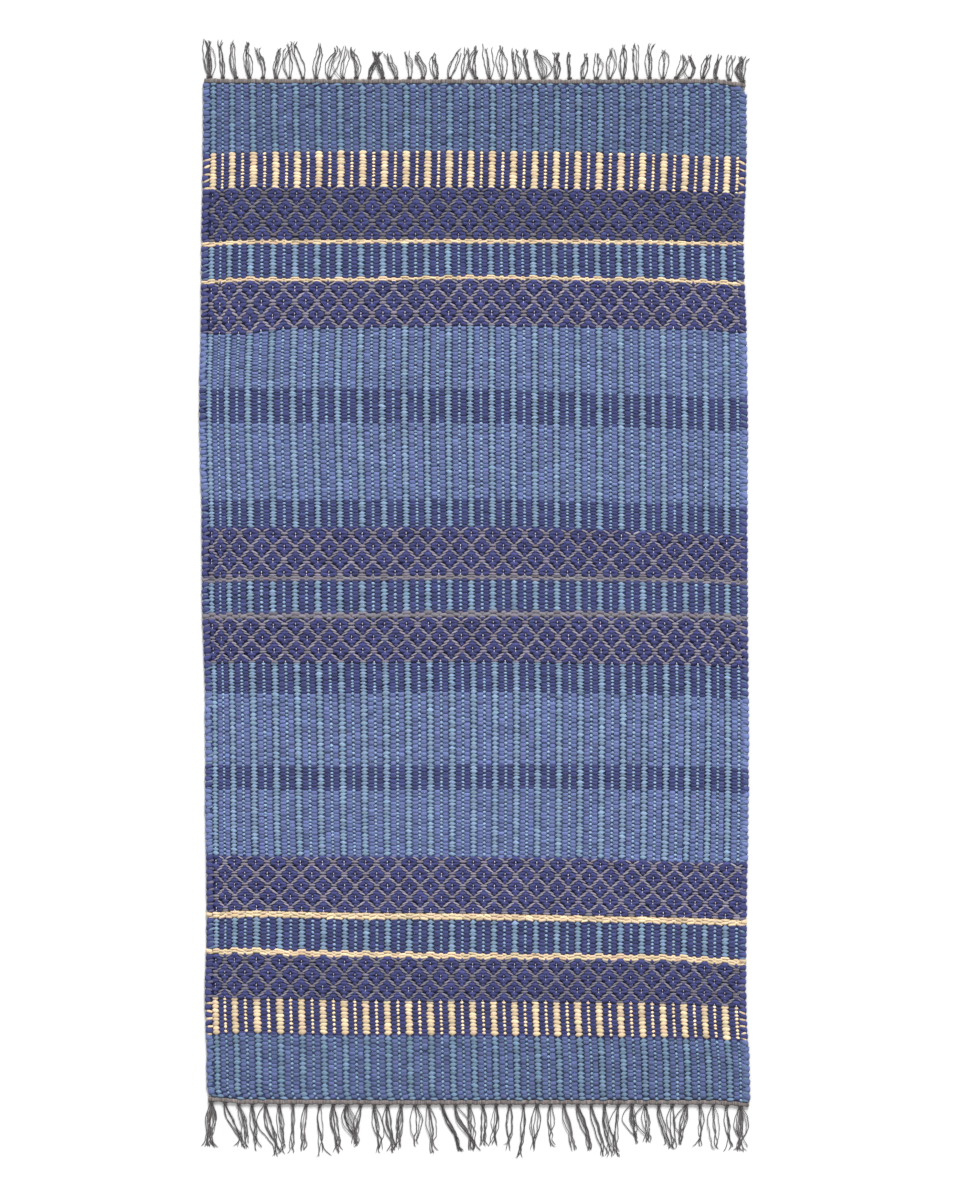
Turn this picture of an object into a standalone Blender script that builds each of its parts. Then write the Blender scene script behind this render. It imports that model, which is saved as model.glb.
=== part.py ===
"""Woven rag rug, 0.80 m by 1.50 m, lying flat, with a knotted fringe at both ends.

Metres, +Z up, floor at z = 0. The rug's length runs along Y: its far end is at +Y,
its near end at -Y, and its selvedges face -X and +X. Three pieces are built: the
woven cloth, and at each end a narrow warp-faced heading with its knotted tassels,
parted from the cloth by a hair's breadth.
"""

from typing import NamedTuple

import bmesh
import bpy
import numpy as np

RUG_LENGTH = 1.500
HEADING_WIDTH = 0.0060
PART_GAP = 0.0003

CLOTH_THICKNESS = 0.0054
EDGE_DROP = 0.0014
WAVE_HEIGHT = 0.00022
BAND_BLEND = 0.004

SCALLOP_PITCH = 0.0095
SCALLOP_DEPTH = 0.0015

HEADING_BACK_HEIGHT = 0.0034
HEADING_CROWN_HEIGHT = 0.0042
HEADING_FRONT_HEIGHT = 0.0030

KNOT_ROOT_WIDTH = 0.0036
KNOT_WIDTH = 0.0056
KNOT_HEIGHT = 0.0040
KNOT_LENGTH = 0.0042
KNOT_CREST = 0.45

STRAND_WIDTH = 0.0015
STRAND_TOP_WIDTH = 0.0009
STRAND_HEIGHT = 0.0013
STRANDS_IN_TASSEL = 3
STRAND_SEGMENTS = 3
STRAND_ROOT_SPACING = 0.0020
STRAND_TIP_SPACING = 0.0031
STRAND_STAGGER = 0.0035
STRAND_BOW = 0.0012
TASSEL_TIP_SPACING = 0.0100


class OutlineRow(NamedTuple):
    """Where both selvedges lie at one distance from the far end, in metres."""

    down: float
    left: float
    right: float


OUTLINE = (
    OutlineRow(0.000, -0.3988, 0.3980),
    OutlineRow(0.110, -0.3990, 0.3975),
    OutlineRow(0.240, -0.4011, 0.3937),
    OutlineRow(0.360, -0.4020, 0.3975),
    OutlineRow(0.475, -0.4042, 0.3992),
    OutlineRow(0.650, -0.4005, 0.3989),
    OutlineRow(0.768, -0.4000, 0.3994),
    OutlineRow(0.885, -0.3962, 0.4007),
    OutlineRow(1.061, -0.3953, 0.4005),
    OutlineRow(1.266, -0.3937, 0.3973),
    OutlineRow(1.354, -0.3958, 0.3975),
    OutlineRow(1.427, -0.3935, 0.4014),
    OutlineRow(1.500, -0.3928, 0.4030),
)


class EndStation(NamedTuple):
    """A lengthwise line of the cloth, and how far each end of it lies towards +Y."""

    across: float
    far_shift: float
    near_shift: float


STATIONS = (
    EndStation(-1.000, 0.0010, 0.0055),
    EndStation(-0.988, 0.0010, 0.0052),
    EndStation(-0.880, 0.0004, 0.0010),
    EndStation(-0.300, 0.0000, -0.0004),
    EndStation(0.300, -0.0004, 0.0002),
    EndStation(0.880, 0.0004, 0.0000),
    EndStation(0.988, -0.0052, -0.0034),
    EndStation(1.000, -0.0060, -0.0040),
)


class Band(NamedTuple):
    """A crosswise band of the weave: where it ends, and how far it stands up."""

    down_to: float
    rise: float


BANDS = (
    Band(0.161, 0.0),
    Band(0.233, 0.0006),
    Band(0.242, -0.0002),
    Band(0.288, 0.0),
    Band(0.299, -0.0002),
    Band(0.360, 0.0006),
    Band(0.657, 0.0),
    Band(0.725, 0.0006),
    Band(0.735, -0.0002),
    Band(0.781, 0.0),
    Band(0.790, -0.0002),
    Band(0.850, 0.0006),
    Band(1.138, 0.0),
    Band(1.219, 0.0006),
    Band(1.231, -0.0002),
    Band(1.277, 0.0),
    Band(1.288, -0.0002),
    Band(1.349, 0.0006),
    Band(1.500, 0.0),
)


class Tassel(NamedTuple):
    """One knotted tassel: how far its tips lie to the right of its knot, and from the
    rug's end to its tips, in millimetres."""

    lean: float
    reach: float


FAR_TASSELS = tuple(
    Tassel(*row)
    for row in (
        (-3, 59), (-5, 59), (-4, 61), (-4, 57), (-9, 48), (7, 47), (0, 54), (-13, 58),
        (6, 54), (12, 51), (7, 50), (-6, 48), (13, 42), (-10, 42), (-12, 41), (-4, 43),
        (-10, 43), (-4, 42), (13, 48), (6, 50), (-1, 51), (-4, 54), (-3, 53), (-3, 48),
        (-7, 47), (-10, 45), (0, 43), (-2, 43), (4, 40), (3, 40), (3, 47), (1, 53),
        (-1, 54), (0, 54), (4, 46), (10, 38), (1, 37), (7, 37), (4, 38), (2, 40), (0, 40),
    )
)

NEAR_TASSELS = tuple(
    Tassel(*row)
    for row in (
        (-3, 69), (25, 69), (10, 67), (7, 70), (16, 78), (6, 75), (-1, 75), (-4, 70),
        (4, 78), (7, 73), (15, 63), (-10, 59), (9, 73), (7, 72), (-4, 67), (1, 62),
        (6, 73), (26, 70), (29, 70), (2, 69), (1, 62), (-4, 62), (-1, 69), (-5, 81),
        (-4, 70), (1, 63), (13, 70), (19, 69), (18, 78), (9, 80), (-3, 78), (6, 59),
        (4, 57), (14, 67), (3, 67), (-10, 60), (0, 63), (4, 67), (6, 69), (0, 67),
    )
)


class FringeEnd(NamedTuple):
    """One end of the rug: its tassels, which way they point, and where the first and
    the last knot sit in from the selvedges."""

    name: str
    tassels: tuple
    outward: float
    left_inset: float
    right_inset: float


FRINGE_ENDS = (
    FringeEnd("fringe_far", FAR_TASSELS, 1.0, 0.0082, 0.0042),
    FringeEnd("fringe_near", NEAR_TASSELS, -1.0, 0.0050, 0.0130),
)

CLOTH_COLOUR = (0.125, 0.165, 0.375)
WARP_COLOUR = (0.135, 0.110, 0.105)
YARN_ROUGHNESS = 0.92


def smooth_through(at, places, values):
    """A cubic curve through the table's points, with slopes from their neighbours."""
    places = np.asarray(places, float)
    values = np.asarray(values, float)
    slopes = np.gradient(values, places)
    i = np.clip(np.searchsorted(places, at) - 1, 0, len(places) - 2)
    span = places[i + 1] - places[i]
    t = (at - places[i]) / span
    start = (2 * t**3 - 3 * t**2 + 1) * values[i] + (t**3 - 2 * t**2 + t) * span * slopes[i]
    end = (3 * t**2 - 2 * t**3) * values[i + 1] + (t**3 - t**2) * span * slopes[i + 1]
    return start + end


def selvedges(down):
    """X of the left and the right selvedge at a distance from the rug's far end."""
    places = [row.down for row in OUTLINE]
    left = smooth_through(down, places, [row.left for row in OUTLINE])
    right = smooth_through(down, places, [row.right for row in OUTLINE])
    return left, right


def across_to_x(across, down):
    """X of a lengthwise line: -1 is the left selvedge and 1 the right one."""
    left, right = selvedges(down)
    return left + (right - left) * (across + 1) / 2


def end_shift(x, end):
    """How far the rug's end line lies towards +Y at x, straight between stations."""
    down = 0.0 if end.outward > 0 else RUG_LENGTH
    places = [across_to_x(station.across, down) for station in STATIONS]
    shifts = [s.far_shift if end.outward > 0 else s.near_shift for s in STATIONS]
    return np.interp(x, places, shifts)


def cloth_height(x, down):
    """Height of the cloth's top: its thickness, the bands' relief and slow waves."""
    ends = np.array([band.down_to for band in BANDS[:-1]])
    rises = np.array([band.rise for band in BANDS])
    step = np.clip((down - ends) / BAND_BLEND + 0.5, 0, 1)
    relief = rises[0] + np.sum(np.diff(rises) * step)
    wave = np.sin(9.1 * x + 4.3 * down) + np.sin(14.7 * down - 6.2 * x + 1.0)
    return CLOTH_THICKNESS + relief + WAVE_HEIGHT * wave


def mesh_object(name, points, faces, colour):
    """A closed body of the given points and faces, with its faces pointing out."""
    mesh = bpy.data.meshes.new(name)
    mesh.from_pydata([tuple(map(float, point)) for point in points], [], faces)
    body = bmesh.new()
    body.from_mesh(mesh)
    bmesh.ops.recalc_face_normals(body, faces=body.faces)
    body.to_mesh(mesh)
    body.free()
    mesh.materials.append(yarn_material(name, colour))
    thing = bpy.data.objects.new(name, mesh)
    bpy.context.scene.collection.objects.link(thing)
    return thing


def yarn_material(name, colour):
    """Matt cotton yarn."""
    material = bpy.data.materials.new(name + "_yarn")
    material.use_nodes = True
    shader = material.node_tree.nodes["Principled BSDF"]
    shader.inputs["Base Color"].default_value = (*colour, 1.0)
    shader.inputs["Roughness"].default_value = YARN_ROUGHNESS
    shader.inputs["Metallic"].default_value = 0.0
    return material


def build_cloth():
    """The woven sheet: a slab with scalloped selvedges, whose top follows the bands.

    Every scallop has one row of quads across the middle. Its crest is one more point
    on each selvedge, so the outer cells have five corners.
    """
    points = []
    faces = []
    scallops = round(RUG_LENGTH / SCALLOP_PITCH)
    last = len(STATIONS) - 1

    def place(station, share):
        """The point of a lengthwise line at a share of the way from far to near."""
        far_y = RUG_LENGTH / 2 - HEADING_WIDTH - PART_GAP + station.far_shift
        near_y = -RUG_LENGTH / 2 + HEADING_WIDTH + PART_GAP + station.near_shift
        y = far_y + (near_y - far_y) * share
        down = min(max(RUG_LENGTH / 2 - y, 0.0), RUG_LENGTH)
        return across_to_x(station.across, down), y, down

    def add(x, y, z):
        points.append((x, y, z))
        return len(points) - 1

    tops = []
    for row in range(scallops + 1):
        line = []
        for number, station in enumerate(STATIONS):
            x, y, down = place(station, row / scallops)
            z = cloth_height(x, down)
            if number in (0, last):
                x += SCALLOP_DEPTH if number == 0 else -SCALLOP_DEPTH
                z -= EDGE_DROP
            line.append(add(x, y, z))
        tops.append(line)
    crests = []
    for row in range(scallops):
        pair = []
        for station in (STATIONS[0], STATIONS[last]):
            x, y, down = place(station, (row + 0.5) / scallops)
            pair.append(add(x, y, cloth_height(x, down) - EDGE_DROP))
        crests.append(pair)

    for row in range(scallops):
        a, b = tops[row], tops[row + 1]
        faces.append((a[0], crests[row][0], b[0], b[1], a[1]))
        for column in range(1, last - 1):
            faces.append((a[column], b[column], b[column + 1], a[column + 1]))
        faces.append((a[last - 1], b[last - 1], b[last], crests[row][1], a[last]))

    rim = list(tops[0])
    for row in range(scallops):
        rim += [crests[row][1], tops[row + 1][last]]
    rim += tops[scallops][-2::-1]
    for row in reversed(range(scallops)):
        rim += [crests[row][0], tops[row][0]]
    rim.pop()
    below = [add(points[i][0], points[i][1], 0.0) for i in rim]
    for i in range(len(rim)):
        after = (i + 1) % len(rim)
        faces.append((rim[i], rim[after], below[after], below[i]))
    faces += underside(below, scallops, last)
    return mesh_object("woven_cloth", points, faces, CLOTH_COLOUR)


def underside(below, scallops, last):
    """The flat underside, as one strip of cells from selvedge to selvedge."""
    far = below[: last + 1]
    right = below[last : last + 2 * scallops + 1]
    near = below[last + 2 * scallops : 2 * last + 2 * scallops + 1]
    left = [below[0]] + below[: 2 * last + 2 * scallops - 1 : -1]
    cells = [tuple(far) + (right[1], left[1])]
    for row in range(1, 2 * scallops - 1):
        cells.append((left[row], right[row], right[row + 1], left[row + 1]))
    cells.append((left[-2], right[-2]) + tuple(near))
    return cells


def kept_apart(tips):
    """Tips in their order, each at least a tassel's width past the one before."""
    placed = []
    for tip in tips:
        placed.append(max(tip, placed[-1] + TASSEL_TIP_SPACING) if placed else tip)
    return placed


def build_fringe(end):
    """A heading with its tassels: the roots of a tassel's strands part from its knot."""
    points = []
    faces = []
    down = 0.0 if end.outward > 0 else RUG_LENGTH
    left, right = (float(x) for x in selvedges(down))
    left += SCALLOP_DEPTH
    right -= SCALLOP_DEPTH
    knots = np.linspace(left + end.left_inset, right - end.right_inset, len(end.tassels))
    tips = kept_apart([x + t.lean / 1000 for x, t in zip(knots, end.tassels)])

    def add(x, outward, z):
        """A point at x, a distance outward from the heading's inner edge."""
        edge = end.outward * (RUG_LENGTH / 2 - HEADING_WIDTH) + end_shift(x, end)
        points.append((x, edge + end.outward * outward, z))
        return len(points) - 1

    def bridge(loop, following):
        """Quads between two closed loops of as many points."""
        for i in range(len(loop)):
            after = (i + 1) % len(loop)
            faces.append((loop[i], loop[after], following[after], following[i]))

    profile = (
        (0.0, 0.0),
        (0.0, HEADING_BACK_HEIGHT),
        (HEADING_WIDTH / 2, HEADING_CROWN_HEIGHT),
        (HEADING_WIDTH, HEADING_FRONT_HEIGHT),
        (HEADING_WIDTH, 0.0),
    )
    half_root = KNOT_ROOT_WIDTH / 2
    stations = [left] + [x + side * half_root for x in knots for side in (-1, 1)] + [right]
    ribs = [[add(x, *point) for point in profile] for x in stations]
    faces.append(tuple(ribs[0]))
    faces.append(tuple(reversed(ribs[-1])))
    front = len(profile) - 2
    for number, (rib, following) in enumerate(zip(ribs, ribs[1:])):
        for i in range(len(profile)):
            if number % 2 == 1 and i == front:
                continue  # a knot grows from here
            after = (i + 1) % len(profile)
            faces.append((rib[i], rib[after], following[after], following[i]))

    for number, (x, tip, tassel) in enumerate(zip(knots, tips, end.tassels)):
        root_left, root_right = ribs[1 + 2 * number], ribs[2 + 2 * number]
        root = [root_left[-1], root_right[-1], root_right[-2], root_left[-2]]
        crest_out = HEADING_WIDTH + KNOT_CREST * KNOT_LENGTH
        half = KNOT_WIDTH / 2
        crest = [
            add(x - half, crest_out, 0.0),
            add(x + half, crest_out, 0.0),
            add(x + half, crest_out, KNOT_HEIGHT),
            add(x - half, crest_out, KNOT_HEIGHT),
        ]
        bridge(root, crest)
        knot_out = HEADING_WIDTH + KNOT_LENGTH
        low, high = [], []
        for strand in range(STRANDS_IN_TASSEL):
            middle = x + (strand - (STRANDS_IN_TASSEL - 1) / 2) * STRAND_ROOT_SPACING
            for side in (-1, 1):
                low.append(add(middle + side * STRAND_WIDTH / 2, knot_out, 0.0))
                high.append(add(middle + side * STRAND_TOP_WIDTH / 2, knot_out, STRAND_HEIGHT))
        faces.append((crest[0], crest[1], *reversed(low)))
        faces.append((crest[3], crest[2], *reversed(high)))
        faces.append((crest[0], crest[3], high[0], low[0]))
        faces.append((crest[1], crest[2], high[-1], low[-1]))
        for gap in range(1, 2 * STRANDS_IN_TASSEL - 1, 2):
            faces.append((low[gap], low[gap + 1], high[gap + 1], high[gap]))

        for strand in range(STRANDS_IN_TASSEL):
            place = strand - (STRANDS_IN_TASSEL - 1) / 2
            loop = [low[2 * strand], low[2 * strand + 1], high[2 * strand + 1], high[2 * strand]]
            start = x + place * STRAND_ROOT_SPACING
            finish = tip + place * STRAND_TIP_SPACING
            reach = HEADING_WIDTH + tassel.reach / 1000 - STRAND_STAGGER * abs(place)
            bow = STRAND_BOW * np.sin(1.7 * number)
            for step in range(1, STRAND_SEGMENTS + 1):
                t = step / STRAND_SEGMENTS
                middle = start + (finish - start) * t + bow * np.sin(np.pi * t)
                out = knot_out + (reach - knot_out) * t
                following = [
                    add(middle - STRAND_WIDTH / 2, out, 0.0),
                    add(middle + STRAND_WIDTH / 2, out, 0.0),
                    add(middle + STRAND_TOP_WIDTH / 2, out, STRAND_HEIGHT),
                    add(middle - STRAND_TOP_WIDTH / 2, out, STRAND_HEIGHT),
                ]
                bridge(loop, following)
                loop = following
            faces.append(tuple(loop))
    return mesh_object(end.name, points, faces, WARP_COLOUR)


def centre_on_origin(things):
    """Moves the meshes so that the rug's box is centred on x = 0 and y = 0."""
    corners = np.array([v.co for thing in things for v in thing.data.vertices])
    middle = (corners.min(axis=0) + corners.max(axis=0)) / 2
    for thing in things:
        for vertex in thing.data.vertices:
            vertex.co.x -= middle[0]
            vertex.co.y -= middle[1]
        thing.data.update()


def main():
    """Clears the scene and builds the rug."""
    for thing in list(bpy.data.objects):
        bpy.data.objects.remove(thing)
    things = [build_cloth()] + [build_fringe(end) for end in FRINGE_ENDS]
    centre_on_origin(things)


main()
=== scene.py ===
"""Looks of a woven rag rug, 0.80 m by 1.50 m, lying flat with a knotted fringe at each end.

Metres, +Z up. The rug's length runs along Y with its far end at +Y, and its selvedges face
-X and +X. The weave is built as it is woven: 204 warp ends in a repeat of eight, and across
them picks of rag weft, each of which shows as a row of short floats. "Down" is the distance
from the rug's far end, and an "end number" counts the warp ends from the left selvedge.
"""

import logging
import math
from dataclasses import dataclass
from enum import Enum
from typing import NamedTuple

import bpy
import numpy as np
from numpy.typing import NDArray
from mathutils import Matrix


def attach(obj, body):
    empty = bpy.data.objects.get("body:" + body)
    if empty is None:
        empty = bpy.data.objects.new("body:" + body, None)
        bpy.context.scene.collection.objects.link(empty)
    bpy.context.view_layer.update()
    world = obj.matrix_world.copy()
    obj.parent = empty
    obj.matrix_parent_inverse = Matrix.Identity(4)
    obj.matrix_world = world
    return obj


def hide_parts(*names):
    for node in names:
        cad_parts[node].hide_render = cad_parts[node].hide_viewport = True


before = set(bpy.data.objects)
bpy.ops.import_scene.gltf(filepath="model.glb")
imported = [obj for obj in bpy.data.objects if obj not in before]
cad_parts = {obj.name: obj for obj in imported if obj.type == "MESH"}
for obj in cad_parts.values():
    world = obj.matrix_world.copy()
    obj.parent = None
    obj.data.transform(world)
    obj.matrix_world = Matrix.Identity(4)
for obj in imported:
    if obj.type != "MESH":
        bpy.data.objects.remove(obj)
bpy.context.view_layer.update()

LOG = logging.getLogger("rag_rug")

Array = NDArray[np.float64]

RUG_LENGTH = 1.500
HEADING_WIDTH = 0.0060
PART_GAP = 0.0003
CLOTH_THICKNESS = 0.0054
WAVE_HEIGHT = 0.00022
TOP_WAVES = ((9.1, 4.3, 0.0), (-6.2, 14.7, 1.0))
SCALLOP_PITCH = 0.0095
HEADING_BACK_HEIGHT = 0.0034
KNOT_HEIGHT = 0.0040
SAME_HEIGHT = 0.00004

WARP_ENDS = 204
REPEAT_ENDS = 8
FIRST_WIDE_END = 4
WARP_PITCH = 0.004
TURN_ENDS = (2.9, 1.4)

SEED = 1878
COLOUR_LAYER = "yarn_colour"


class Yarn(Enum):
    """The rug's yarns, each with its colour in linear light."""

    TEAL = (0.196, 0.288, 0.412)
    DULL_TEAL = (0.146, 0.228, 0.330)
    PERIWINKLE = (0.168, 0.214, 0.450)
    DULL_PERIWINKLE = (0.128, 0.166, 0.350)
    NAVY = (0.070, 0.081, 0.234)
    DEEP_NAVY = (0.060, 0.067, 0.210)
    CREAM = (0.800, 0.630, 0.415)
    GREY = (0.252, 0.230, 0.292)
    DULL_GREY = (0.200, 0.188, 0.240)
    DARK_GREY = (0.158, 0.150, 0.186)
    STONE = (0.235, 0.218, 0.258)
    TWINE = (0.205, 0.180, 0.176)
    FRINGE = (0.072, 0.065, 0.066)


# Painted shade on a yarn's sides between floats, as shares of its colour: bluish, or brownish on cream.
NAVY_PAINTED_SHADE = (0.34, 0.40, 0.62)
BROWN_PAINTED_SHADE = (0.52, 0.44, 0.40)


def painted_shade_of(yarn: Yarn) -> tuple[float, float, float]:
    """The painted shade on a yarn's sides, where they dip into the gaps, as a share of its colour."""
    return BROWN_PAINTED_SHADE if yarn is Yarn.CREAM else NAVY_PAINTED_SHADE


class Weave(Enum):
    """How a band's picks take turns."""

    COLUMNS = "lengthwise columns"
    ROSETTES = "staggered rosettes"
    LINE = "a few picks of one yarn"


class Band(NamedTuple):
    """A crosswise band: where it ends and its rise, in mm, its picks, its two yarns,
    whether the first pick is of the dark yarn, how far the band sways, in mm: down at the
    narrow columns and up at the wide ones, and the tone of its dye."""

    down_to: float
    picks: int
    weave: Weave
    light: Yarn
    dark: Yarn
    rise: float
    dark_first: bool = False
    sway: float = 0.0
    tone: float = 1.0


# Kinds of bands: the weave, the light and the dark yarn, and the rise in mm.
DULL_COLUMNS = (Weave.COLUMNS, Yarn.DULL_TEAL, Yarn.DULL_PERIWINKLE, 0.0)
CREAM_COLUMNS = (Weave.COLUMNS, Yarn.CREAM, Yarn.DEEP_NAVY, 0.0)
NAVY_COLUMNS = (Weave.COLUMNS, Yarn.TEAL, Yarn.NAVY, 0.0)
PALE_COLUMNS = (Weave.COLUMNS, Yarn.TEAL, Yarn.PERIWINKLE, 0.0)
GREY_ROSETTES = (Weave.ROSETTES, Yarn.GREY, Yarn.DEEP_NAVY, 0.6)
CREAM_LINE = (Weave.LINE, Yarn.CREAM, Yarn.CREAM, -0.2)
STONE_LINE = (Weave.LINE, Yarn.STONE, Yarn.STONE, -0.2)

BANDS: tuple[Band, ...] = (
    Band(105.5, 34, *DULL_COLUMNS),
    Band(158.2, 21, *CREAM_COLUMNS),
    Band(233.7, 30, Weave.ROSETTES, Yarn.DARK_GREY, Yarn.DEEP_NAVY, 0.6, tone=0.96),
    Band(239.8, 3, *CREAM_LINE),
    Band(287.0, 19, *NAVY_COLUMNS, True),
    Band(292.6, 3, *CREAM_LINE, sway=1.0),
    Band(360.4, 28, *GREY_ROSETTES),
    Band(452.7, 34, *PALE_COLUMNS),
    Band(501.8, 20, *NAVY_COLUMNS),
    Band(613.1, 38, *PALE_COLUMNS),
    Band(655.6, 18, *NAVY_COLUMNS),
    Band(725.2, 30, *GREY_ROSETTES, tone=0.97),
    Band(731.6, 3, *STONE_LINE),
    Band(778.2, 17, *NAVY_COLUMNS, True, tone=0.98),
    Band(787.0, 3, *STONE_LINE, sway=1.0, tone=0.95),
    Band(852.6, 28, *GREY_ROSETTES, tone=0.97),
    Band(895.1, 18, *NAVY_COLUMNS),
    Band(1001.3, 34, *PALE_COLUMNS),
    Band(1037.2, 14, *NAVY_COLUMNS),
    Band(1138.3, 36, *PALE_COLUMNS),
    Band(1220.8, 38, *GREY_ROSETTES),
    Band(1230.2, 4, *CREAM_LINE, sway=-1.0),
    Band(1279.0, 17, *NAVY_COLUMNS, True, tone=0.94),
    Band(1287.4, 4, *CREAM_LINE, sway=0.9),
    Band(1350.0, 28, Weave.ROSETTES, Yarn.DULL_GREY, Yarn.DEEP_NAVY, 0.6, tone=0.95),
    Band(1399.8, 18, *CREAM_COLUMNS, tone=0.94),
    Band(1493.7, 30, *DULL_COLUMNS, True),
)

# Stations across the rug, from -1 at the left selvedge to 1 at the right one.
ACROSS = (-1.0, -0.85, -0.7, -0.5, 0.0, 0.5, 0.7, 0.85, 1.0)


class PickLine(NamedTuple):
    """How far the pick at one distance down rises towards the far end at each of the
    ACROSS stations, in mm."""

    down: float
    rises: tuple[float, ...]


PICK_LINES: tuple[PickLine, ...] = (
    PickLine(0.030, (0.6, 0.3, 0.1, 0.0, 0.0, 0.0, -0.5, -1.2, -3.0)),
    PickLine(0.106, (-4.5, -2.2, -1.1, -0.4, 0.0, -2.6, -4.8, -7.3, -9.2)),
    PickLine(0.158, (-4.0, 0.0, 0.0, 1.0, 0.0, -3.3, -4.8, -7.0, -9.4)),
    PickLine(0.239, (-5.4, -1.1, -1.1, -0.4, 0.0, -0.8, -1.6, -3.3, -3.6)),
    PickLine(0.295, (-8.2, -3.0, -3.3, -3.4, 0.0, -2.7, -3.9, -6.4, -9.8)),
    PickLine(0.360, (-11.5, -12.1, -4.5, -3.3, 0.0, -3.3, -4.8, -6.2, -11.2)),
    PickLine(0.453, (0.2, 1.8, 0.6, 1.4, 0.0, -6.2, -8.4, -11.4, -13.4)),
    PickLine(0.502, (0.4, -0.2, -0.4, 0.4, 0.0, -5.5, -7.7, -9.9, -11.5)),
    PickLine(0.613, (-2.0, -0.4, -1.0, -1.5, 0.0, -4.8, -7.0, -9.5, -13.0)),
    PickLine(0.656, (-1.6, -0.4, -1.5, -1.1, 0.0, -4.4, -7.7, -10.6, -12.6)),
    PickLine(0.725, (-5.2, -2.6, -1.8, -1.8, 0.0, -2.6, -4.0, -5.5, -8.2)),
    PickLine(0.789, (-4.6, -3.3, -2.9, -2.6, 0.0, -0.4, -1.8, -2.9, -7.2)),
    PickLine(0.853, (-2.0, -1.5, -1.5, -1.5, 0.0, -3.3, -4.0, -5.5, -9.0)),
    PickLine(0.895, (-3.4, -2.9, -3.3, -2.6, 0.0, -3.3, -5.5, -8.1, -11.8)),
    PickLine(1.037, (-1.1, -1.1, -1.8, -2.6, 0.0, -0.4, -1.8, -3.3, -7.6)),
    PickLine(1.138, (2.8, 1.1, 0.6, 0.4, 0.0, -3.3, -6.6, -7.9, -8.5)),
    PickLine(1.226, (1.4, 4.4, 3.3, 1.5, 0.0, -3.9, -5.4, -6.9, -9.6)),
    PickLine(1.288, (6.0, 7.7, 4.9, 3.3, 0.0, -1.6, -2.8, -5.5, -9.6)),
    PickLine(1.350, (6.4, 4.2, 3.8, 1.5, 0.0, -1.8, -3.3, -5.5, -9.6)),
    PickLine(1.400, (0.5, 3.3, 1.8, 0.4, 0.0, -2.8, -3.6, -4.9, -8.0)),
    PickLine(1.465, (4.5, 1.5, 0.8, 0.0, 0.0, 0.0, -0.4, -0.8, -2.5)),
)


class Shed(Enum):
    """The floats of one shed in the 8-end repeat: the middle end and the ends covered."""

    ONE_TWO = ((0.0, 3), (4.0, 1))
    TWO_THREE = ((1.5, 2), (6.5, 2))
    THREE_FOUR = ((2.5, 2), (5.5, 2))
    FOUR_ONE = ((4.0, 3), (0.0, 1))

    def opposite(self) -> "Shed":
        """The shed whose floats lie where this one's picks pass underneath."""
        return {
            Shed.ONE_TWO: Shed.THREE_FOUR,
            Shed.THREE_FOUR: Shed.ONE_TWO,
            Shed.TWO_THREE: Shed.FOUR_ONE,
            Shed.FOUR_ONE: Shed.TWO_THREE,
        }[self]


# Stations across the rug, as end numbers.
AT_ENDS = (-0.5, 4.0, 12.0, 28.0, 44.0, 60.0, 84.0, 140.0, 164.0, 180.0, 188.0, 196.0, 203.5)


class WarpLine(NamedTuple):
    """How far the ends AT_ENDS lie to the right of their even share of the width at one
    distance down, in ends."""

    down: float
    shifts: tuple[float, ...]


WARP_LINES: tuple[WarpLine, ...] = (
    WarpLine(0.055, (0.0, -0.5, -1.5, -1.7, -1.3, -0.6, 0.0, 0.4, 0.8, 0.8, 0.8, 0.3, 0.0)),
    WarpLine(0.132, (0.0, -0.5, -1.4, -1.0, -0.8, -0.4, 0.0, 0.2, 0.5, 0.5, 0.5, 0.2, 0.0)),
    WarpLine(0.265, (0.0, -0.6, -1.9, -1.5, -1.0, -0.5, 0.1, 0.2, 0.3, 0.1, 0.0, -0.4, 0.0)),
    WarpLine(0.450, (0.0, -0.8, -2.3, -2.0, -1.4, -0.8, 0.0, 0.3, 0.3, 0.0, -0.1, -0.4, 0.0)),
    WarpLine(0.620, (0.0, -0.7, -2.1, -1.7, -1.0, -0.5, 0.1, 0.2, 0.4, 0.2, 0.0, -0.4, 0.0)),
    WarpLine(0.760, (0.0, -0.8, -2.3, -2.0, -1.2, -0.6, 0.0, 0.2, 0.3, 0.2, 0.2, -0.2, 0.0)),
    WarpLine(0.875, (0.0, -0.8, -2.3, -2.0, -1.5, -0.9, 0.0, 0.4, 0.4, 0.6, 0.4, -0.4, 0.0)),
    WarpLine(1.050, (0.0, -0.7, -1.9, -1.7, -1.0, -0.6, 0.1, 0.2, 0.2, 0.3, 0.1, -0.4, 0.0)),
    WarpLine(1.255, (0.0, -0.7, -1.8, -0.8, -0.2, -0.1, 0.2, -0.2, -0.1, -0.1, -0.3, -0.6, 0.0)),
    WarpLine(1.375, (0.0, -0.5, -1.3, -0.3, -0.1, 0.0, 0.3, -0.2, -0.1, -0.2, -0.4, -0.7, 0.0)),
    WarpLine(1.450, (0.0, -0.4, -1.0, -0.5, -0.2, -0.1, 0.1, 0.1, 0.2, 0.2, 0.2, 0.0, 0.0)),
)


class MotifPick(NamedTuple):
    """A dark pick of the rosettes: its shed, its motif's middle end in the repeat, and 1
    in the motif's upper half or -1 in its lower half."""

    shed: Shed
    centre: float
    half: float


ROSETTE_SHEDS = (
    MotifPick(Shed.ONE_TWO, 0.0, 1.0),
    MotifPick(Shed.TWO_THREE, 0.0, 1.0),
    MotifPick(Shed.TWO_THREE, 0.0, -1.0),
    MotifPick(Shed.ONE_TWO, 0.0, -1.0),
    MotifPick(Shed.FOUR_ONE, 4.0, 1.0),
    MotifPick(Shed.THREE_FOUR, 4.0, 1.0),
    MotifPick(Shed.THREE_FOUR, 4.0, -1.0),
    MotifPick(Shed.FOUR_ONE, 4.0, -1.0),
)


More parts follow.
